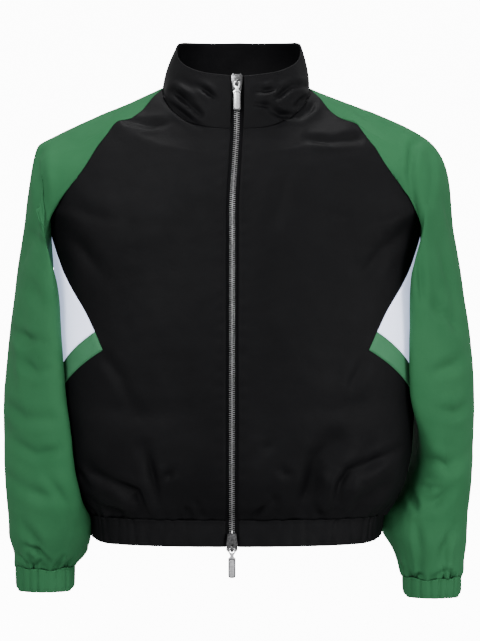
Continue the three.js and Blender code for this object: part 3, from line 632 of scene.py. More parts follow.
# Cloth pieces: each has its outer grid, how it is finished, and which way its columns run.
fronts = {sign: front_grid(sign) for sign in (-1, 1)}
back = back_grid()
CLOTH = {
    "front_right": dict(grid=fronts[-1], slot="black_cloth", gathered_row=0),
    "front_left": dict(grid=fronts[1], slot="black_cloth", gathered_row=0),
    "back": dict(grid=back, slot="black_cloth", gathered_row=0),
    "side_inset_right": dict(grid=inset_grid(-1), slot="white_cloth"),
    "side_inset_left": dict(grid=inset_grid(1), slot="white_cloth"),
    # The pocket welts wear a lighter copy of the green cloth as painted light
    "pocket_welt_right": dict(grid=welt_grid(-1), slot="green_cloth",
                              material="welt_cloth_painted_lighter", wall=WELT_WALL, proud=WELT_PROUD),
    "pocket_welt_left": dict(grid=welt_grid(1), slot="green_cloth",
                              material="welt_cloth_painted_lighter", wall=WELT_WALL, proud=WELT_PROUD),
    "collar": dict(grid=collar_grid(fronts, back), slot="black_cloth", wall=COLLAR_WALL, soft_row=0),
    "hem_band_front_right": dict(grid=front_band_grid(-1), slot="black_cloth", wall=BAND_WALL, band=True),
    "hem_band_front_left": dict(grid=front_band_grid(1), slot="black_cloth", wall=BAND_WALL, band=True),
    "hem_band_back": dict(grid=band_grid(90, 270, HEM_WAVES_BACK, uneven_ripple), slot="black_cloth",
                          wall=BAND_WALL, band=True),
}
for side, sleeve in SLEEVES.items():
    centre = (sleeve["sign"] * 275, 0)
    cuff_centre = (sleeve["sign"] * sleeve["cuff"]["x"], sleeve["cuff"]["y"])
    CLOTH[f"sleeve_{side}"] = dict(grid=sleeve_grid(side), slot="green_cloth", wrap=True, axis=centre,
                                   gathered_row=-1)
    CLOTH[f"cuff_{side}"] = dict(grid=cuff_grid(side), slot="green_cloth", wrap=True, axis=cuff_centre,
                                 wall=BAND_WALL, band=True)


def quad_index(grid, wrap):
    rows, columns = grid.shape[:2]
    index = np.arange(rows * columns).reshape(rows, columns)
    right = np.roll(index, -1, axis=1) if wrap else index[:, 1:]
    left = index if wrap else index[:, :-1]
    return np.stack([left[:-1], right[:-1], right[1:], left[1:]], axis=-1).reshape(-1, 4)


def vertex_normals(grid, quads, flip):
    """Area-weighted normals, not yet of unit length"""
    flat = grid.reshape(-1, 3)
    a, b, c, d = [flat[quads[:, k]] for k in range(4)]
    face = np.cross(c - a, d - b) * (-1 if flip else 1)
    normals = np.zeros_like(flat)
    for k in range(4):
        np.add.at(normals, quads[:, k], face)
    return normals


def unit(vectors):
    return vectors / np.maximum(np.linalg.norm(vectors, axis=-1, keepdims=True), 1e-12)


def faces_inwards(grid, quads, axis):
    flat = grid.reshape(-1, 3)
    a, b, c, d = [flat[quads[:, k]] for k in range(4)]
    away = (a + c) / 2 - np.array([axis[0], axis[1], 0])
    away[:, 2] = 0
    return np.sum(np.cross(c - a, d - b) * away) < 0


def shared_normals(pieces):
    """Unit normals of every piece, merged where pieces meet"""
    places = np.concatenate([piece["grid"].reshape(-1, 3) for piece in pieces])
    raw = np.concatenate([vertex_normals(piece["grid"], piece["quads"], piece["flip"]) for piece in pieces])
    _, same = np.unique(np.round(places * 20).astype(np.int64), axis=0, return_inverse=True)
    same = same.ravel()
    total = np.zeros((same.max() + 1, 3))
    np.add.at(total, same, raw)
    merged = unit(total)[same]
    split = np.cumsum([piece["grid"].shape[0] * piece["grid"].shape[1] for piece in pieces])[:-1]
    return np.split(merged, split)


def line_distance(places, start, end):
    """Distance of places from a straight stretch, and how far along it they are"""
    start = np.asarray(start, float)
    way = np.asarray(end, float) - start
    along = np.clip((places - start) @ way / (way @ way), 0, 1)
    return np.linalg.norm(places - start - along[:, None] * way, axis=1), along


# Large folds, as in the part's solids: x1, y1, z1, x2, y2, z2, half width, depth
LARGE_FOLDS = [
    # Lower front
    (-196, -98, -520, -122, -138, -563, 15, 4),
    (-122, -146, -488, -92, -138, -568, 14, 4),
    (130, -142, -480, 92, -140, -575, 19, 6),
    (180, -112, -500, 150, -128, -560, 16, 5),
    # The side swells over the hem band
    (192, -30, -578, 192, 40, -578, 22, -6),
    # Upper chest
    (-140, -74, -46, -92, -98, -48, 10, 3),
    (100, -104, -70, 165, -86, -70, 10, 3),
    # Lower back
    (-150, 118, -520, -110, 126, -568, 16, 4),
    (60, 138, -505, 84, 130, -570, 16, 4),
    (170, 104, -500, 150, 112, -560, 16, 4),
    (-60, 140, -340, 70, 138, -352, 22, 3),
    # Wearer's right sleeve
    (-272, -44, -92, -266, -84, -170, 12, 5),
    (-266, -84, -186, -290, -40, -228, 14, 4),
    (-300, -60, -330, -262, -72, -372, 18, 4),
    (-312, -40, -470, -256, -80, -500, 18, 4),
    (-306, 50, -380, -270, 70, -420, 18, 4),
    # Wearer's left sleeve
    (268, -52, -94, 262, -84, -160, 10, 3),
    (300, -62, -238, 276, -88, -300, 14, 4),
    (318, -40, -330, 280, -80, -310, 16, 4),
    (300, -50, -500, 272, -40, -560, 18, 5),
    (314, 60, -400, 280, 100, -440, 18, 4),
]

# Creases seen from the front: half width, depth, then x and z of each point along the crease.
# A depth below 0 is a ridge.
FRONT_CREASES = [
    # Lower front, wearer's right
    (6, 3.2, (-192, -526), (-133, -550), (-120, -584)),
    (6, 3.0, (-120, -487), (-112, -526), (-104, -561), (-91, -584)),
    (5, 2.0, (-82, -516), (-96, -534)),
    (4, 2.0, (-53, -558), (-42, -585)),
    (3.5, 1.6, (-66, -568), (-60, -584)),
    (5, 2.4, (-197, -561), (-186, -574), (-149, -582)),
    (9, -2.0, (-170, -545), (-140, -572)),
    (4, 1.6, (-218, -520), (-196, -546)),
    # Lower front, wearer's left
    (11, 3.6, (131, -481), (107, -502), (104, -534), (94, -561), (86, -588)),
    (7, 3.4, (180, -508), (152, -521), (139, -542), (132, -574)),
    (6, 2.6, (223, -491), (191, -507), (172, -520)),
    (3.5, 2.4, (40, -564), (19, -588)),
    (5, 1.8, (51, -547), (51, -574)),
    (5, 1.8, (60, -516), (68, -526)),
    (4, 1.8, (105, -568), (112, -581)),
    (7, 1.5, (27, -504), (45, -480)),
    (10, 2.5, (205, -540), (170, -560), (150, -575)),
    (10, -2.0, (122, -520), (114, -565)),
    (9, -1.6, (166, -535), (152, -570)),
    # Chest and under the arms
    (5, 2.2, (-146, -50), (-118, -56), (-88, -53)),
    (5, 2.2, (96, -77), (130, -80), (164, -76)),
    (9, 1.5, (-238, -186), (-200, -232), (-176, -262)),
    (9, 1.5, (238, -190), (196, -226), (170, -262)),
    (12, 1.2, (-226, -168), (-170, -190), (-120, -196)),
    (12, 1.2, (222, -170), (170, -186), (126, -190)),
    (7, 1.4, (-176, -366), (-152, -398), (-140, -430)),
    (7, 1.4, (174, -366), (156, -402), (148, -440)),
    (10, 1.0, (-70, -130), (-44, -190)),
    (10, 1.0, (66, -128), (48, -200)),
    (13, 1.0, (-196, -430), (-120, -446), (-60, -440)),
    (13, 1.0, (205, -420), (140, -440), (84, -436)),
]
SLEEVE_CREASES = [
    # Wearer's right
    (6, 3.2, (-266, -90), (-262, -130), (-254, -175)),
    (5, 1.6, (-272, -108), (-266, -160)),
    (6, 2.4, (-286, -200), (-270, -212), (-257, -220)),
    (8, 2.0, (-300, -262), (-276, -276), (-258, -300)),
    (7, 2.2, (-310, -330), (-286, -346), (-254, -350)),
    (6, 1.6, (-296, -372), (-270, -390), (-250, -386)),
    (8, 2.2, (-316, -432), (-286, -452), (-244, -452)),
    (6, 1.8, (-300, -486), (-268, -500), (-236, -494)),
    (8, 2.0, (-314, -530), (-280, -548), (-240, -560)),
    (7, 1.8, (-252, -530), (-226, -566), (-216, -600)),
    (6, 1.8, (-290, -590), (-270, -618), (-262, -650)),
    (7, -1.5, (-300, -300), (-290, -420)),
    (6, 1.6, (-150, -22), (-176, -40), (-206, -62)),
    (3.2, 2.4, (-287, -624), (-268, -632), (-251, -648)),
    (2.8, 2.0, (-299, -638), (-284, -651), (-282, -660)),
    (2.6, 1.6, (-247, -660), (-238, -645), (-232, -640)),
    (2.4, 1.2, (-276, -662), (-270, -650), (-262, -646)),
    # Wearer's left
    (5, 3.0, (253, -72), (240, -84), (236, -104), (234, -124), (240, -180)),
    (5, 2.4, (242, -190), (246, -236), (250, -300)),
    (6, 1.8, (282, -150), (296, -190), (300, -220)),
    (7, 2.2, (276, -220), (292, -262), (300, -332)),
    (6, 2.0, (256, -292), (282, -312), (302, -326)),
    (8, 2.0, (322, -360), (296, -380), (262, -392)),
    (7, 2.0, (324, -430), (300, -446), (270, -440)),
    (8, 2.4, (322, -500), (290, -520), (256, -508)),
    (7, 2.0, (300, -548), (270, -570), (240, -572)),
    (6, 2.0, (300, -600), (284, -632), (280, -668)),
    (6, 1.8, (246, -600), (252, -640), (250, -672)),
    (3, 2.0, (270, -674), (285, -664), (294, -665), (301, -690)),
    (2.8, 1.6, (240, -677), (250, -671), (258, -672)),
    (3.2, 2.0, (221, -655), (230, -665)),
    (4, 2.4, (238, -547), (246, -582)),
    (4, 1.4, (254, -549), (277, -550)),
    (6, 1.6, (150, -22), (176, -40), (206, -62)),
]
# Similar creases on the back, seen from the front through the jacket
BACK_CREASES = [
    (7, 3.0, (-190, -520), (-140, -548), (-122, -584)),
    (6, 2.6, (-96, -500), (-88, -540), (-76, -584)),
    (6, 2.2, (-20, -530), (-26, -560), (-12, -586)),
    (8, 2.8, (62, -505), (76, -540), (84, -584)),
    (8, 2.8, (172, -500), (158, -540), (140, -580)),
    (5, 2.0, (112, -540), (118, -584)),
    (12, 1.6, (-70, -332), (0, -346), (78, -340)),
    (12, 1.2, (-120, -380), (-40, -396), (40, -392)),
    (10, 1.6, (-236, -190), (-180, -250), (-140, -300)),
    (10, 1.6, (236, -190), (184, -246), (146, -310)),
    (9, 1.6, (-90, -60), (-40, -84), (10, -88)),
    (9, 1.4, (96, -64), (50, -86), (16, -90)),
    (10, 1.4, (-170, -430), (-100, -452), (-30, -446)),
    (8, 2.0, (-300, -300), (-276, -330), (-262, -372)),
    (8, 2.0, (-312, -420), (-284, -446), (-250, -470)),
    (7, 2.0, (-300, -540), (-270, -566), (-240, -570)),
    (7, 2.6, (-272, -96), (-262, -140), (-256, -180)),
    (8, 2.0, (304, -290), (282, -330), (266, -360)),
    (8, 2.0, (320, -410), (290, -440), (262, -446)),
    (7, 2.0, (316, -540), (284, -560), (250, -570)),
    (7, 2.6, (268, -96), (260, -140), (256, -180)),
]
# The soft collar folds over itself, and its folds run on down the fronts.
NECK_CREASES = [
    (4, 2.6, (-85, -10), (-68, -26), (-48, -45)),
    (3.5, 2.2, (-56, -2), (-39, -13), (-25, -25)),
    (4, 1.8, (-94, -24), (-68, -46), (-47, -62)),
    (4.5, -1.6, (-88, 4), (-68, -10), (-46, -26)),
    (3.5, 2.2, (25, -13), (40, -12), (56, -9)),
    (4, 2.6, (53, -24), (66, -12), (77, -4), (100, 1)),
    (3, 1.8, (25, -32), (46, -33)),
    (4, 2.4, (44, -38), (62, -45), (82, -45)),
    (4, 2.2, (86, -46), (99, -36), (107, -26)),
    (3, 1.8, (80, -33), (86, -25), (93, -18)),
    (5, -1.4, (34, -22), (48, -20), (60, -34)),
]
CREASE_SHOULDER = 0.32
CREASE_STRENGTH = 2.1


def crease_depth(places, facing, creases):
    """How deep the creases press, seen along the y axis, where facing is 1 on their side"""
    total = np.zeros(len(places))
    flat = places[:, [0, 2]]
    for wide, deep, *stops in creases:
        stops = np.array(stops, float)
        if facing.max() <= 0:
            continue
        lengths = np.linalg.norm(np.diff(stops, axis=0), axis=1)
        walked = np.concatenate([[0], np.cumsum(lengths)]) / lengths.sum()
        nearest = np.full(len(flat), 1e9)
        share = np.zeros(len(flat))
        for i in range(len(stops) - 1):
            distance, along = line_distance(flat, stops[i], stops[i + 1])
            closer = distance < nearest
            nearest = np.where(closer, distance, nearest)
            share = np.where(closer, lerp(walked[i], walked[i + 1], along), share)
        taper = np.sin(np.pi * np.clip(share * 0.86 + 0.07, 0, 1)) ** 0.8
        taper *= 0.85 + 0.3 * np.sin(7 * share + wide + stops[0, 0])
        trough = np.exp(-(nearest / wide) ** 2)
        shoulder = np.exp(-((nearest - 2.1 * wide) / (1.1 * wide)) ** 2)
        total += deep * taper * (trough - CREASE_SHOULDER * shoulder)
    return CREASE_STRENGTH * total * facing


def large_fold_depth(places):
    total = np.zeros(len(places))
    for x1, y1, z1, x2, y2, z2, wide, deep in LARGE_FOLDS:
        distance, _ = line_distance(places, (x1, y1, z1), (x2, y2, z2))
        total += deep * np.exp(-((distance / wide) ** 2))
    return total


def slow_waves(places, size, seed):
    """Soft unevenness: a few slow waves in fixed directions"""
    draw = np.random.default_rng(seed)
    total = np.zeros(len(places))
    for _ in range(7):
        way = unit(draw.normal(size=3)) * 2 * np.pi / (size * draw.uniform(0.6, 1.5))
        total += np.sin(places @ way + draw.uniform(0, 6.28))
    return total / 4


def gather_depth(angle, height, around):
    """Gathers that run up from a band: short close ones and a few long ones"""
    phase = around * angle
    uneven = 0.9 * np.sin(3 * angle + 0.4) + 0.7 * np.sin(7 * angle + 2.1) + 0.5 * np.sin(11 * angle)
    short = 1.3 * np.exp(-height / 9) * (0.4 - np.cos(phase + uneven))
    middle = 1.5 * np.exp(-height / 22) * (0.4 - np.cos(phase * 0.43 + 1.8 * uneven))
    long = 1.3 * np.exp(-height / 45) * (0.5 - np.cos(phase * 0.19 + 2.2 * uneven + 1))
    patchy = 0.75 + 0.35 * np.sin(5 * angle + 1.3)
    return (short + middle + long) * patchy


# The small puckers that run along the sewn zip: depth, distance from the zip, reach and pitches
ZIP_PUCKER = dict(deep=0.35, middle=7, reach=5, pitch=3.1, slow_pitch=17)


def fold_depth(name, places, normals):
    """How far each point of a piece is pressed in"""
    facing_front = smooth_step(0.02, 0.4, -normals[:, 1])
    facing_back = smooth_step(0.02, 0.4, normals[:, 1])
    if name.startswith(("hem", "cuff")):
        return 0.35 * slow_waves(places, 30, 5)
    if name == "collar":
        in_front = facing_front * (places[:, 1] < 0)
        sagging = 0.8 * slow_waves(places, 46, 3) * smooth_step(-60, -30, places[:, 2])
        beside_zip = np.abs(places[:, 0] - zip_x(places[:, 2]))
        away_from_zip = smooth_step(9, 26, beside_zip + 60 * (places[:, 1] > 0))
        return (crease_depth(places, in_front, NECK_CREASES) + sagging) * away_from_zip
    depth = large_fold_depth(places)
    depth += crease_depth(places, facing_back, BACK_CREASES)
    depth += 0.55 * slow_waves(places, 90, 7) + 0.25 * slow_waves(places, 34, 11)
    if name.startswith("sleeve"):
        sleeve = SLEEVES[name.split("_")[1]]
        cuff = sleeve["cuff"]
        angle = np.arctan2(places[:, 1] - cuff["y"], sleeve["sign"] * places[:, 0] - cuff["x"])
        depth += crease_depth(places, facing_front, SLEEVE_CREASES)
        depth += gather_depth(angle, places[:, 2] - sleeve["cuff_top"], CUFF_WAVES)
        return depth
    depth += crease_depth(places, facing_front, FRONT_CREASES + NECK_CREASES)
    for side, sign in (("right", -1), ("left", 1)):
        depth += swell(SIDE_TUCKS[side], places[:, 2]) * smooth_step(170, 225, sign * places[:, 0])
    angle = np.arctan2(places[:, 0] / 1.7, -places[:, 1])
    depth += gather_depth(angle, places[:, 2] - HEM_TOP, 2 * (HEM_WAVES_SIDE + HEM_WAVES_BACK // 2))
    in_front = places[:, 1] < -60
    from_zip = np.abs(places[:, 0] - zip_x(places[:, 2])) - ZIP_EDGE
    calm = np.where(in_front, smooth_step(2, 20, from_zip), 1)
    uneven = np.sin(places[:, 2] / ZIP_PUCKER["pitch"] + np.sin(places[:, 2] / ZIP_PUCKER["slow_pitch"]))
    beside = np.exp(-((from_zip - ZIP_PUCKER["middle"]) / ZIP_PUCKER["reach"]) ** 2)
    pucker = ZIP_PUCKER["deep"] * beside * uneven
    return depth * calm + np.where(in_front, pucker, 0)


def prepare_cloth():
    """Folds the cloth and rolls its edges into the seams."""
    pieces = list(CLOTH.values())
    for piece in pieces:
        piece.setdefault("wrap", False)
        piece.setdefault("wall", CLOTH_WALL)
        piece["quads"] = quad_index(piece["grid"], piece["wrap"])
        piece["flip"] = faces_inwards(piece["grid"], piece["quads"], piece.get("axis", (0, 0)))
    for (name, piece), normals in zip(CLOTH.items(), shared_normals(pieces)):
        grid = piece["grid"]
        flat = grid.reshape(-1, 3)
        depth = fold_depth(name, flat, normals).reshape(grid.shape[:2])
        moved = grid - normals.reshape(grid.shape) * depth[..., None]
        if "gathered_row" in piece:
            row = piece["gathered_row"]
            moved[row, :, 2] = grid[row, :, 2]
        piece["folded"] = moved
    for piece in pieces:
        piece["plain"], piece["grid"] = piece["grid"], piece["folded"]
    for piece, normals in zip(pieces, shared_normals(pieces)):
        grid = piece["grid"]
        normals = normals.reshape(grid.shape)
        rolled = grid + normals * piece.get("proud", 0)
        edges = [(0, 1), (-1, -2)]
        for edge, near in edges:
            soft = piece.get("band") or edge in (piece.get("gathered_row"), piece.get("soft_row"))
            roll = SOFT_ROLL if soft else EDGE_ROLL
            rolled[edge] -= unit(grid[near] - grid[edge]) * SEAM_OVERLAP + normals[edge] * roll
        if not piece["wrap"]:
            for edge, near in edges:
                way = unit(grid[:, near] - grid[:, edge])
                rolled[:, edge] -= way * SEAM_OVERLAP + normals[:, edge] * EDGE_ROLL
        piece["grid"] = rolled
        piece["normals"] = normals


def new_object(name, vertices, faces, slot, smooth=True):
    """A mesh object, its vertices given in millimetres"""
    mesh = bpy.data.meshes.new(name)
    mesh.from_pydata((np.asarray(vertices) * MM).tolist(), [], [list(face) for face in faces])
    mesh.polygons.foreach_set("use_smooth", [smooth] * len(mesh.polygons))
    mesh.update()
    piece = bpy.data.objects.new(name, mesh)
    bpy.context.scene.collection.objects.link(piece)
    piece.data.materials.append(MATERIALS[slot])
    return piece


def make_cloth():
    prepare_cloth()
    made = {}
    for name, piece in CLOTH.items():
        quads = piece["quads"][:, ::-1] if piece["flip"] else piece["quads"]
        material = piece.get("material", piece["slot"])
        shell = new_object(f"cloth_{name}", piece["grid"].reshape(-1, 3), quads, material)
        solidify = shell.modifiers.new("wall", "SOLIDIFY")
        solidify.thickness = piece["wall"] * MM
        solidify.offset = -1
        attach(shell, ROOT)
        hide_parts(name)
        made[name] = shell
    return made


# Materials
def node(tree, kind, **sockets):
    """A shader node with its inputs set by name"""
    made = tree.nodes.new(kind)
    for name, value in sockets.items():
        made.inputs[name.replace("_", " ")].default_value = value
    return made


def noise(tree, coordinates, scale, detail=3, roughness=0.55):
    made = node(tree, "ShaderNodeTexNoise", Scale=scale, Detail=detail, Roughness=roughness)
    tree.links.new(coordinates, made.inputs["Vector"])
    return made.outputs["Fac"]


def bump(tree, height, distance, strength, before=None):
    made = node(tree, "ShaderNodeBump", Strength=strength, Distance=distance)
    tree.links.new(height, made.inputs["Height"])
    if before is not None:
        tree.links.new(before, made.inputs["Normal"])
    return made.outputs["Normal"]


def weave_height(tree, coordinates, pitch):
    """Crossing threads: one run of ribs up the cloth and one across it"""
    total = None
    for direction in ("X", "Z"):
        wave = node(tree, "ShaderNodeTexWave", Scale=1 / pitch / 6.2832 * 2, Distortion=0.6, Detail=1)
        wave.bands_direction = direction
        tree.links.new(coordinates, wave.inputs["Vector"])
        if total is None:
            total = wave.outputs["Fac"]
            continue
        add = tree.nodes.new("ShaderNodeMath")
        add.operation = "ADD"
        tree.links.new(total, add.inputs[0])
        tree.links.new(wave.outputs["Fac"], add.inputs[1])
        total = add.outputs[0]
    return total


def start_material(name):
    material = bpy.data.materials.new(name)
    material.use_nodes = True
    tree = material.node_tree
    shader = tree.nodes["Principled BSDF"]
    coordinates = tree.nodes.new("ShaderNodeTexCoord").outputs["Object"]
    return material, tree, shader, coordinates


def cloth_material(name, dark, light, roughness, shine, crinkle):
    """Light woven cloth: two close shades in soft patches, a fine weave and small crinkles"""
    material, tree, shader, coordinates = start_material(name)
    patches = noise(tree, coordinates, 14, 4)
    ramp = tree.nodes.new("ShaderNodeValToRGB")
    ramp.color_ramp.elements[0].position = 0.3
    ramp.color_ramp.elements[1].position = 0.7
    ramp.color_ramp.elements[0].color = dark
    ramp.color_ramp.elements[1].color = light
    tree.links.new(patches, ramp.inputs["Fac"])
    tree.links.new(ramp.outputs["Color"], shader.inputs["Base Color"])
    worn = noise(tree, coordinates, 60, 3)
    spread = node(tree, "ShaderNodeMapRange", To_Min=roughness - 0.06, To_Max=roughness + 0.08)
    tree.links.new(worn, spread.inputs["Value"])
    tree.links.new(spread.outputs["Result"], shader.inputs["Roughness"])
    soft = bump(tree, noise(tree, coordinates, 55, 2), 0.0016, crinkle)
    small = bump(tree, noise(tree, coordinates, 240, 3), 0.0004, crinkle, soft)
    woven = bump(tree, weave_height(tree, coordinates, 0.0011), 0.00012, 0.5, small)
    tree.links.new(woven, shader.inputs["Normal"])
    shader.inputs["Specular IOR Level"].default_value = shine
    return material


def tape_material():
    """Woven zip tape with a rib across every thread"""
    material, tree, shader, coordinates = start_material("zip_tape")
    shader.inputs["Base Color"].default_value = (0.0022, 0.0022, 0.0026, 1)
    shader.inputs["Specular IOR Level"].default_value = 0.04
    ribs = node(tree, "ShaderNodeTexWave", Scale=300, Distortion=0.4)
    ribs.bands_direction = "Z"
    tree.links.new(coordinates, ribs.inputs["Vector"])
    tree.links.new(bump(tree, ribs.outputs["Fac"], 0.0003, 0.8), shader.inputs["Normal"])
    worn = node(tree, "ShaderNodeMapRange", To_Min=0.7, To_Max=0.85)
    tree.links.new(noise(tree, coordinates, 90), worn.inputs["Value"])
    tree.links.new(worn.outputs["Result"], shader.inputs["Roughness"])
    return material


def metal_material(name, dark, light):
    """Worn nickel with fine scratches, in two shades"""
    material, tree, shader, coordinates = start_material(name)
    ramp = tree.nodes.new("ShaderNodeValToRGB")
    ramp.color_ramp.elements[0].color = (dark, dark, dark * 1.04, 1)
    ramp.color_ramp.elements[1].color = (light, light, light * 1.02, 1)
    ramp.color_ramp.elements[0].position = 0.3
    ramp.color_ramp.elements[1].position = 0.7
    tree.links.new(noise(tree, coordinates, 420, 4), ramp.inputs["Fac"])
    tree.links.new(ramp.outputs["Color"], shader.inputs["Base Color"])
    spread = node(tree, "ShaderNodeMapRange", To_Min=0.2, To_Max=0.42)
    tree.links.new(noise(tree, coordinates, 900, 5), spread.inputs["Value"])
    tree.links.new(spread.outputs["Result"], shader.inputs["Roughness"])
    tree.links.new(bump(tree, noise(tree, coordinates, 1500, 2), 0.00005, 0.4), shader.inputs["Normal"])
    shader.inputs["Metallic"].default_value = 1
    return material


CLOTH_LOOKS = {
    # two shades, roughness, shine, crinkle
    "black_cloth": ((0.0024, 0.0024, 0.0028, 1), (0.0036, 0.0036, 0.0041, 1), 0.55, 0.05, 0.35),
    "green_cloth": ((0.0185, 0.085, 0.0355, 1), (0.023, 0.097, 0.0415, 1), 0.72, 0.03, 0.3),
    "white_cloth": ((0.80, 0.83, 0.98, 1), (0.84, 0.87, 1, 1), 0.6, 0.15, 0.25),
    # The welt cloth is the green cloth made lighter: painted light on the pocket welts, which face sideways
    # into shade
    "welt_cloth_painted_lighter": ((0.034, 0.125, 0.06, 1), (0.04, 0.14, 0.068, 1), 0.72, 0.03, 0.3),
}
MATERIALS = {
    **{name: cloth_material(name, *look) for name, look in CLOTH_LOOKS.items()},
    "zip_tape": tape_material(),
    "metal": metal_material("metal", 0.1, 0.42),
    # Painted shade: a darker copy of the metal for the sliders and the pull tab rims
    "metal_painted_shade": metal_material("metal_painted_shade", 0.035, 0.14),
    # Painted highlight: a lighter copy of the metal for the pull tabs
    "metal_painted_highlight": metal_material("metal_painted_highlight", 0.4, 0.72),
}


def paint_glow(material, colour, strength):
    """Painted light: white cloth given its own bluish glow, so it looks lighter than the lamps alone make
    it
    """
    inputs = material.node_tree.nodes["Principled BSDF"].inputs
    inputs["Emission Color"].default_value = (*colour, 1)
    inputs["Emission Strength"].default_value = strength


# The white insets glow as painted light
paint_glow(MATERIALS["white_cloth"], colour=(0.6, 0.68, 1), strength=0.9)


# Zip
TOOTH_PITCH = 2.75
TEETH_LOW = -605
TEETH_HIGH = -7
TOOTH_OUTLINE = [
    # across from the middle of the zip, up
    (-0.9, -0.3), (-0.65, -0.52), (0.2, -0.55), (0.6, -0.42), (3.3, -0.46), (3.7, -0.25),
    (3.7, 0.25), (3.3, 0.46), (0.6, 0.42), (0.2, 0.55), (-0.65, 0.52), (-0.9, 0.3),
]
TOOTH_FRONT = 0.1
TOOTH_BACK = 2.3
TOOTH_CHAMFER = 0.25
# The tapes run on under the edges of the fronts.
TAPE_FROM = 0.6
TAPE_TO = 11.5
TAPE_DEPTH = 1.5


def make_teeth():
    """Two rows of teeth that close into each other."""
    outline = np.array(TOOTH_OUTLINE)
    middle = outline.mean(axis=0)
    layers = [(TOOTH_BACK, 1), (TOOTH_FRONT + TOOTH_CHAMFER, 1), (TOOTH_FRONT, 1 - TOOTH_CHAMFER)]
    vertices, faces = [], []
    size = len(outline)
    for i, z in enumerate(np.arange(TEETH_LOW, TEETH_HIGH, TOOTH_PITCH / 2)):
        side = 1 if i % 2 else -1
        place = zip_points(z)
        tip = zip_points(z + 1)
        up = unit(tip - place)
        first = len(vertices)
        for depth, scale in layers:
            for across, height in middle + (outline - middle) * scale:
                vertices.append(place + np.array([side * across, depth, 0]) + up * height)
        rings = [[first + layer * size + k for k in range(size)] for layer in range(len(layers))]
        tooth = [rings[0][::-1], rings[-1]]
        for low, high in zip(rings, rings[1:]):
            tooth += [[low[k], low[(k + 1) % size], high[(k + 1) % size], high[k]] for k in range(size)]
        faces += tooth if side == 1 else [face[::-1] for face in tooth]
    teeth = new_object("zip_teeth_rows", vertices, faces, "metal", smooth=False)
    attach(teeth, ROOT)
    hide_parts("zip_teeth")


def strip(name, path, across, outwards, half, thick, slot):
    """A narrow woven strip along a path, with rounded long edges"""
    profile = [(-1, 0.15), (-1, 0.7), (-0.93, 1), (0.93, 1), (1, 0.7), (1, 0.15), (0.93, 0), (-0.93, 0)]
    rings = [path + across * (half * a) + outwards * (thick * (b - 1)) for a, b in profile]
    vertices = np.stack(rings, axis=1).reshape(-1, 3)
    size = len(profile)
    faces = []
    for i in range(len(path) - 1):
        for k in range(size):
            a, b = i * size + k, i * size + (k + 1) % size
            faces.append([a, b, b + size, a + size])
    last = (len(path) - 1) * size
    faces += [list(range(size))[::-1], [last + k for k in range(size)]]
    return new_object(name, vertices, faces, slot)


def make_tapes():
    for side, sign in (("right", -1), ("left", 1)):
        z = np.linspace(HEM_BOTTOM + 0.6, 2.4, 420)
        middle = zip_points(z, sign * (TAPE_FROM + TAPE_TO) / 2)
        middle[:, 1] += TAPE_DEPTH
        across = np.tile([sign * 1.0, 0, 0], (len(z), 1))
        along = unit(np.gradient(middle, axis=0))
        outwards = unit(np.cross(along, across)) * sign
        outwards *= np.where(outwards[:, 1] < 0, 1, -1)[:, None]
        tape = strip(f"tape_{side}", middle, across, outwards, (TAPE_TO - TAPE_FROM) / 2, 0.7, "zip_tape")
        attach(tape, ROOT)
        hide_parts(f"zip_tape_{side}")


# Sliders, pull tabs and snaps
SLIDER_FRONT = 3.3
PULL_CENTRE = 1.35
SLIDER_PLACES = dict(top=dict(z=-1.5, bridge_z=-1), bottom=dict(z=-615.5, bridge_z=-7))
TAB = dict(half=4.8, top=-13.2, bottom=-38.9, corner=3.4, rim=1.5, front=0.78, raised=1.2)


def slider_frame(place):
    """Where a slider's pull tab hangs from, and how it leans"""
    slider = SLIDER_PLACES[place]
    lean = -math.atan(COLLAR_LEAN) if slider["z"] > NECK_FRONT else 0
    turn = Matrix.Rotation(lean, 4, "X")
    start = Matrix.Translation(Vector(zip_points(slider["z"]) * MM))
    eye = Matrix.Translation(Vector((0, -(SLIDER_FRONT + PULL_CENTRE) * MM, slider["bridge_z"] * MM)))
    return start @ turn @ eye


def rounded_outline(half, top, bottom, corner, steps=6):
    """A rectangle with round corners, as across and up"""
    outline = []
    corners = [(half, top, 0), (-half, top, 90), (-half, bottom, 180), (half, bottom, 270)]
    for x, z, start in corners:
        centre_x = x - math.copysign(corner, x)
        centre_z = z - corner if z == top else z + corner
        for i in range(steps + 1):
            angle = math.radians(start + 90 * i / steps)
            outline.append((centre_x + corner * math.cos(angle), centre_z + corner * math.sin(angle)))
    return outline


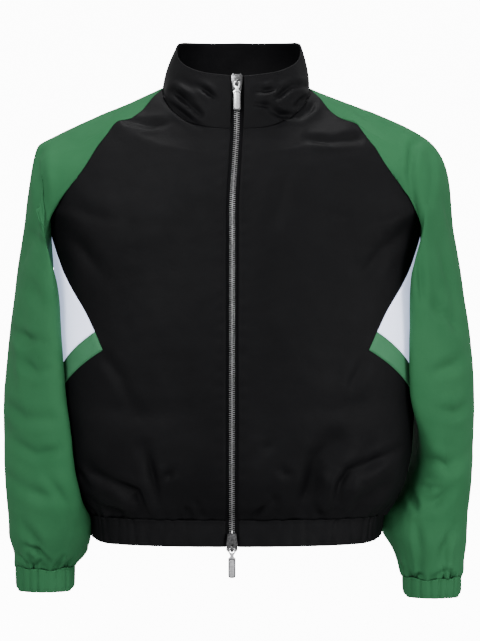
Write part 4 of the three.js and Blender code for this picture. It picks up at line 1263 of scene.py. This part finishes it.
def make_tab_rim(place):
    """The raised rim on both faces of a pull tab"""
    outer = rounded_outline(TAB["half"], TAB["top"], TAB["bottom"], TAB["corner"])
    rim = TAB["rim"]
    inner = rounded_outline(TAB["half"] - rim, TAB["top"] - rim, TAB["bottom"] + rim, TAB["corner"] - rim)
    slope = 0.3
    crest_out = rounded_outline(TAB["half"] - slope, TAB["top"] - slope, TAB["bottom"] + slope,
                                TAB["corner"] - slope)
    crest_in = rounded_outline(TAB["half"] - rim + slope, TAB["top"] - rim + slope,
                               TAB["bottom"] + rim - slope, TAB["corner"] - rim + slope)
    vertices, faces = [], []
    for facing in (-1, 1):
        first = len(vertices)
        loops = [(outer, TAB["front"]), (crest_out, TAB["raised"]), (crest_in, TAB["raised"]),
                 (inner, TAB["front"])]
        for loop, height in loops:
            vertices += [(x, facing * height, z) for x, z in loop]
        size = len(outer)
        for layer in range(4):
            for k in range(size):
                a, b = first + layer * size + k, first + layer * size + (k + 1) % size
                c, d = (first + (layer + 1) % 4 * size + (k + 1) % size,
                        first + (layer + 1) % 4 * size + k)
                faces.append([a, b, c, d] if facing == 1 else [d, c, b, a])
    # The rim wears the darker copy of the metal, as painted shade
    rim_piece = new_object(f"pull_{place}_rim", vertices, faces, "metal_painted_shade")
    rim_piece.data.transform(slider_frame(place))
    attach(rim_piece, f"{place}_pull")


# Sliders wear the metal darkened as painted shade and pull tabs the metal lightened as painted highlight;
# snaps keep the plain metal
METAL_SHADES = {"slider": "metal_painted_shade", "pull": "metal_painted_highlight", "snap": "metal"}


def make_metal_parts():
    """The sliders, pull tabs and snaps, with their edges rounded"""
    bodies = {"slider": ROOT, "pull": None, "snap": ROOT}
    for name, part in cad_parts.items():
        kind = name.split("_")[0]
        if kind not in bodies:
            continue
        mesh = part.data.copy()
        mesh.materials.clear()
        mesh.materials.append(MATERIALS[METAL_SHADES[kind]])
        metal = bpy.data.objects.new(f"metal_{name}", mesh)
        bpy.context.scene.collection.objects.link(metal)
        shape = bmesh.new()
        shape.from_mesh(mesh)
        bmesh.ops.remove_doubles(shape, verts=shape.verts, dist=1e-6)
        bmesh.ops.dissolve_limit(shape, angle_limit=math.radians(1), verts=shape.verts, edges=shape.edges)
        shape.to_mesh(mesh)
        shape.free()
        mesh.polygons.foreach_set("use_smooth", [True] * len(mesh.polygons))
        rounding = metal.modifiers.new("rounding", "BEVEL")
        rounding.width = (0.2 if kind == "pull" else 0.4) * MM
        rounding.segments = 2
        rounding.limit_method = "ANGLE"
        rounding.angle_limit = math.radians(32)
        rounding.harden_normals = True
        body = bodies[kind] or f"{name.split('_')[1]}_pull"
        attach(metal, body)
        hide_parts(name)


# Sewing
STITCH_LONG = 2.1
STITCH_PITCH = 3
STITCH_RADIUS = 0.19
# Lines of stitches, as (edge, how far in from it): rows run round a piece and columns up it.
STITCH_LINES = {
    "front": [("first column", 5.5), ("last column", 2.4)],
    "back": [("first column", 2.4), ("last column", 2.4)],
    "pocket": [("first row", 2), ("last row", 2)],
    "collar": [("first row", 2.4), ("last row", 4), ("first column", 5.5), ("last column", 5.5)],
    "hem": [("first row", 3), ("last row", 5)],
    "cuff": [("first row", 3), ("last row", 5)],
}


def line_inside(piece, edge, distance):
    """A line on a piece at one distance in from one of its edges, and the normals along it"""
    grid, normals = piece["grid"], piece["normals"]
    if "column" in edge:
        grid, normals = grid.swapaxes(0, 1), normals.swapaxes(0, 1)
    if "last" in edge:
        grid, normals = grid[::-1], normals[::-1]
    if piece["wrap"]:
        grid = np.concatenate([grid, grid[:, :1]], axis=1)
        normals = np.concatenate([normals, normals[:, :1]], axis=1)
    steps = np.linalg.norm(np.diff(grid, axis=0), axis=2)
    walked = np.concatenate([np.zeros((1, grid.shape[1])), np.cumsum(steps, axis=0)])
    path, facing = [], []
    for column in range(grid.shape[1]):
        after = min(int(np.searchsorted(walked[:, column], distance)), len(grid) - 1)
        before = after - 1
        share = (distance - walked[before, column]) / steps[before, column]
        path.append(lerp(grid[before, column], grid[after, column], share))
        facing.append(lerp(normals[before, column], normals[after, column], share))
    return np.array(path), unit(np.array(facing))


def make_stitches(name, slot, lines):
    """Rows of short raised stitches, their ends sunk in the cloth"""
    sections = [(0, -0.2), (0.25, 0.1), (0.75, 0.1), (1, -0.2)]
    turns = np.radians([0, 90, 180, 270])
    size = len(turns)
    vertices, faces = [], []
    for path, facing in lines:
        walked = np.concatenate([[0], np.cumsum(np.linalg.norm(np.diff(path, axis=0), axis=1))])
        starts = np.arange(STITCH_PITCH, walked[-1] - STITCH_PITCH, STITCH_PITCH)
        centres, ups = [], []
        for share, _ in sections:
            at = starts + share * STITCH_LONG
            centres.append(np.stack([np.interp(at, walked, path[:, k]) for k in range(3)], axis=1))
            ups.append(unit(np.stack([np.interp(at, walked, facing[:, k]) for k in range(3)], axis=1)))
        across = unit(np.cross(ups[0], centres[-1] - centres[0]))
        rings = []
        for centre, up, (_, height) in zip(centres, ups, sections):
            for turn in turns:
                raised = up * (height + STITCH_RADIUS * math.cos(turn))
                rings.append(centre + raised + across * STITCH_RADIUS * math.sin(turn))
        first = len(vertices)
        vertices.extend(np.stack(rings, axis=1).reshape(-1, 3))
        for stitch in range(len(starts)):
            low = first + stitch * len(rings)
            for layer in range(len(sections) - 1):
                for k in range(size):
                    a, b = low + layer * size + k, low + layer * size + (k + 1) % size
                    faces.append([a, a + size, b + size, b])
            faces.append([low + k for k in range(size)])
            faces.append([low + len(rings) - 1 - k for k in range(size)])
    stitches = new_object(name, vertices, faces, slot)
    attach(stitches, ROOT)
    return stitches


def sew(shells):
    """Stitches for each piece of cloth that has any, by the piece's name"""
    sewn = {}
    for name in shells:
        lines = STITCH_LINES.get(name.split("_")[0])
        if lines:
            piece = CLOTH[name]
            paths = [line_inside(piece, edge, distance) for edge, distance in lines]
            sewn[name] = make_stitches(f"stitches_{name}", piece["slot"], paths)
    return sewn


# Surroundings
FLOOR_Z = -0.78
STAGE_REACH = 9
BACKDROP_Y = 6
WORLD_STRENGTH = 0.95
LIT_PLACE = (0, 0, -0.3)
LIGHTS = [
    # name, place, size, power
    ("key", (-1.3, -2.6, 1.3), 1.2, 105),
    ("fill", (2.2, -1.8, 0.1), 1.4, 68),
    ("top", (0.0, 0.2, 2.0), 0.8, 45),
]
CAMERA = dict(place=(0.0055, -3.0, -0.3208), sensor_height=24, lens=81.39)


def add_plain_surface(name, corners):
    """A white surface, bright to look at, that throws no light on the jacket"""
    mesh = bpy.data.meshes.new(name)
    mesh.from_pydata(corners, [], [[0, 1, 2, 3]])
    made = bpy.data.objects.new(name, mesh)
    bpy.context.scene.collection.objects.link(made)
    material, tree, shader, coordinates = start_material(name)
    shade = node(tree, "ShaderNodeMapRange", To_Min=11, To_Max=12)
    tree.links.new(noise(tree, coordinates, 0.5), shade.inputs["Value"])
    tree.links.new(shade.outputs["Result"], shader.inputs["Emission Strength"])
    shader.inputs["Emission Color"].default_value = (1, 1, 1, 1)
    mesh.materials.append(material)
    made.visible_diffuse = False
    made.visible_glossy = False
    made.visible_shadow = False


def add_area_light(name, place, size, power):
    light = bpy.data.lights.new(name, "AREA")
    light.shape = "DISK"
    light.size = size
    light.energy = power
    made = bpy.data.objects.new(name, light)
    made.location = place
    made.rotation_euler = (Vector(LIT_PLACE) - Vector(place)).to_track_quat("-Z", "Y").to_euler()
    bpy.context.scene.collection.objects.link(made)


def add_surroundings():
    wide = STAGE_REACH
    behind = BACKDROP_Y + 0.1
    add_plain_surface("floor", [(-wide, -wide, FLOOR_Z), (wide, -wide, FLOOR_Z),
                                (wide, behind, FLOOR_Z), (-wide, behind, FLOOR_Z)])
    add_plain_surface("backdrop", [(-wide, BACKDROP_Y, FLOOR_Z), (wide, BACKDROP_Y, FLOOR_Z),
                                   (wide, BACKDROP_Y, wide), (-wide, BACKDROP_Y, wide)])
    world = bpy.data.worlds.new("white")
    world.use_nodes = True
    world.node_tree.nodes["Background"].inputs["Color"].default_value = (1, 1, 1, 1)
    world.node_tree.nodes["Background"].inputs["Strength"].default_value = WORLD_STRENGTH
    bpy.context.scene.world = world
    for light in LIGHTS:
        add_area_light(*light)


def add_camera():
    camera = bpy.data.cameras.new("camera")
    camera.sensor_fit = "VERTICAL"
    camera.sensor_height = CAMERA["sensor_height"]
    camera.lens = CAMERA["lens"]
    made = bpy.data.objects.new("camera", camera)
    made.location = CAMERA["place"]
    made.rotation_euler = Euler((math.radians(90), 0, 0))
    bpy.context.scene.collection.objects.link(made)
    bpy.context.scene.camera = made


shells = make_cloth()
sew(shells)
make_teeth()
make_tapes()
make_metal_parts()
for place in SLIDER_PLACES:
    make_tab_rim(place)
add_surroundings()
add_camera()
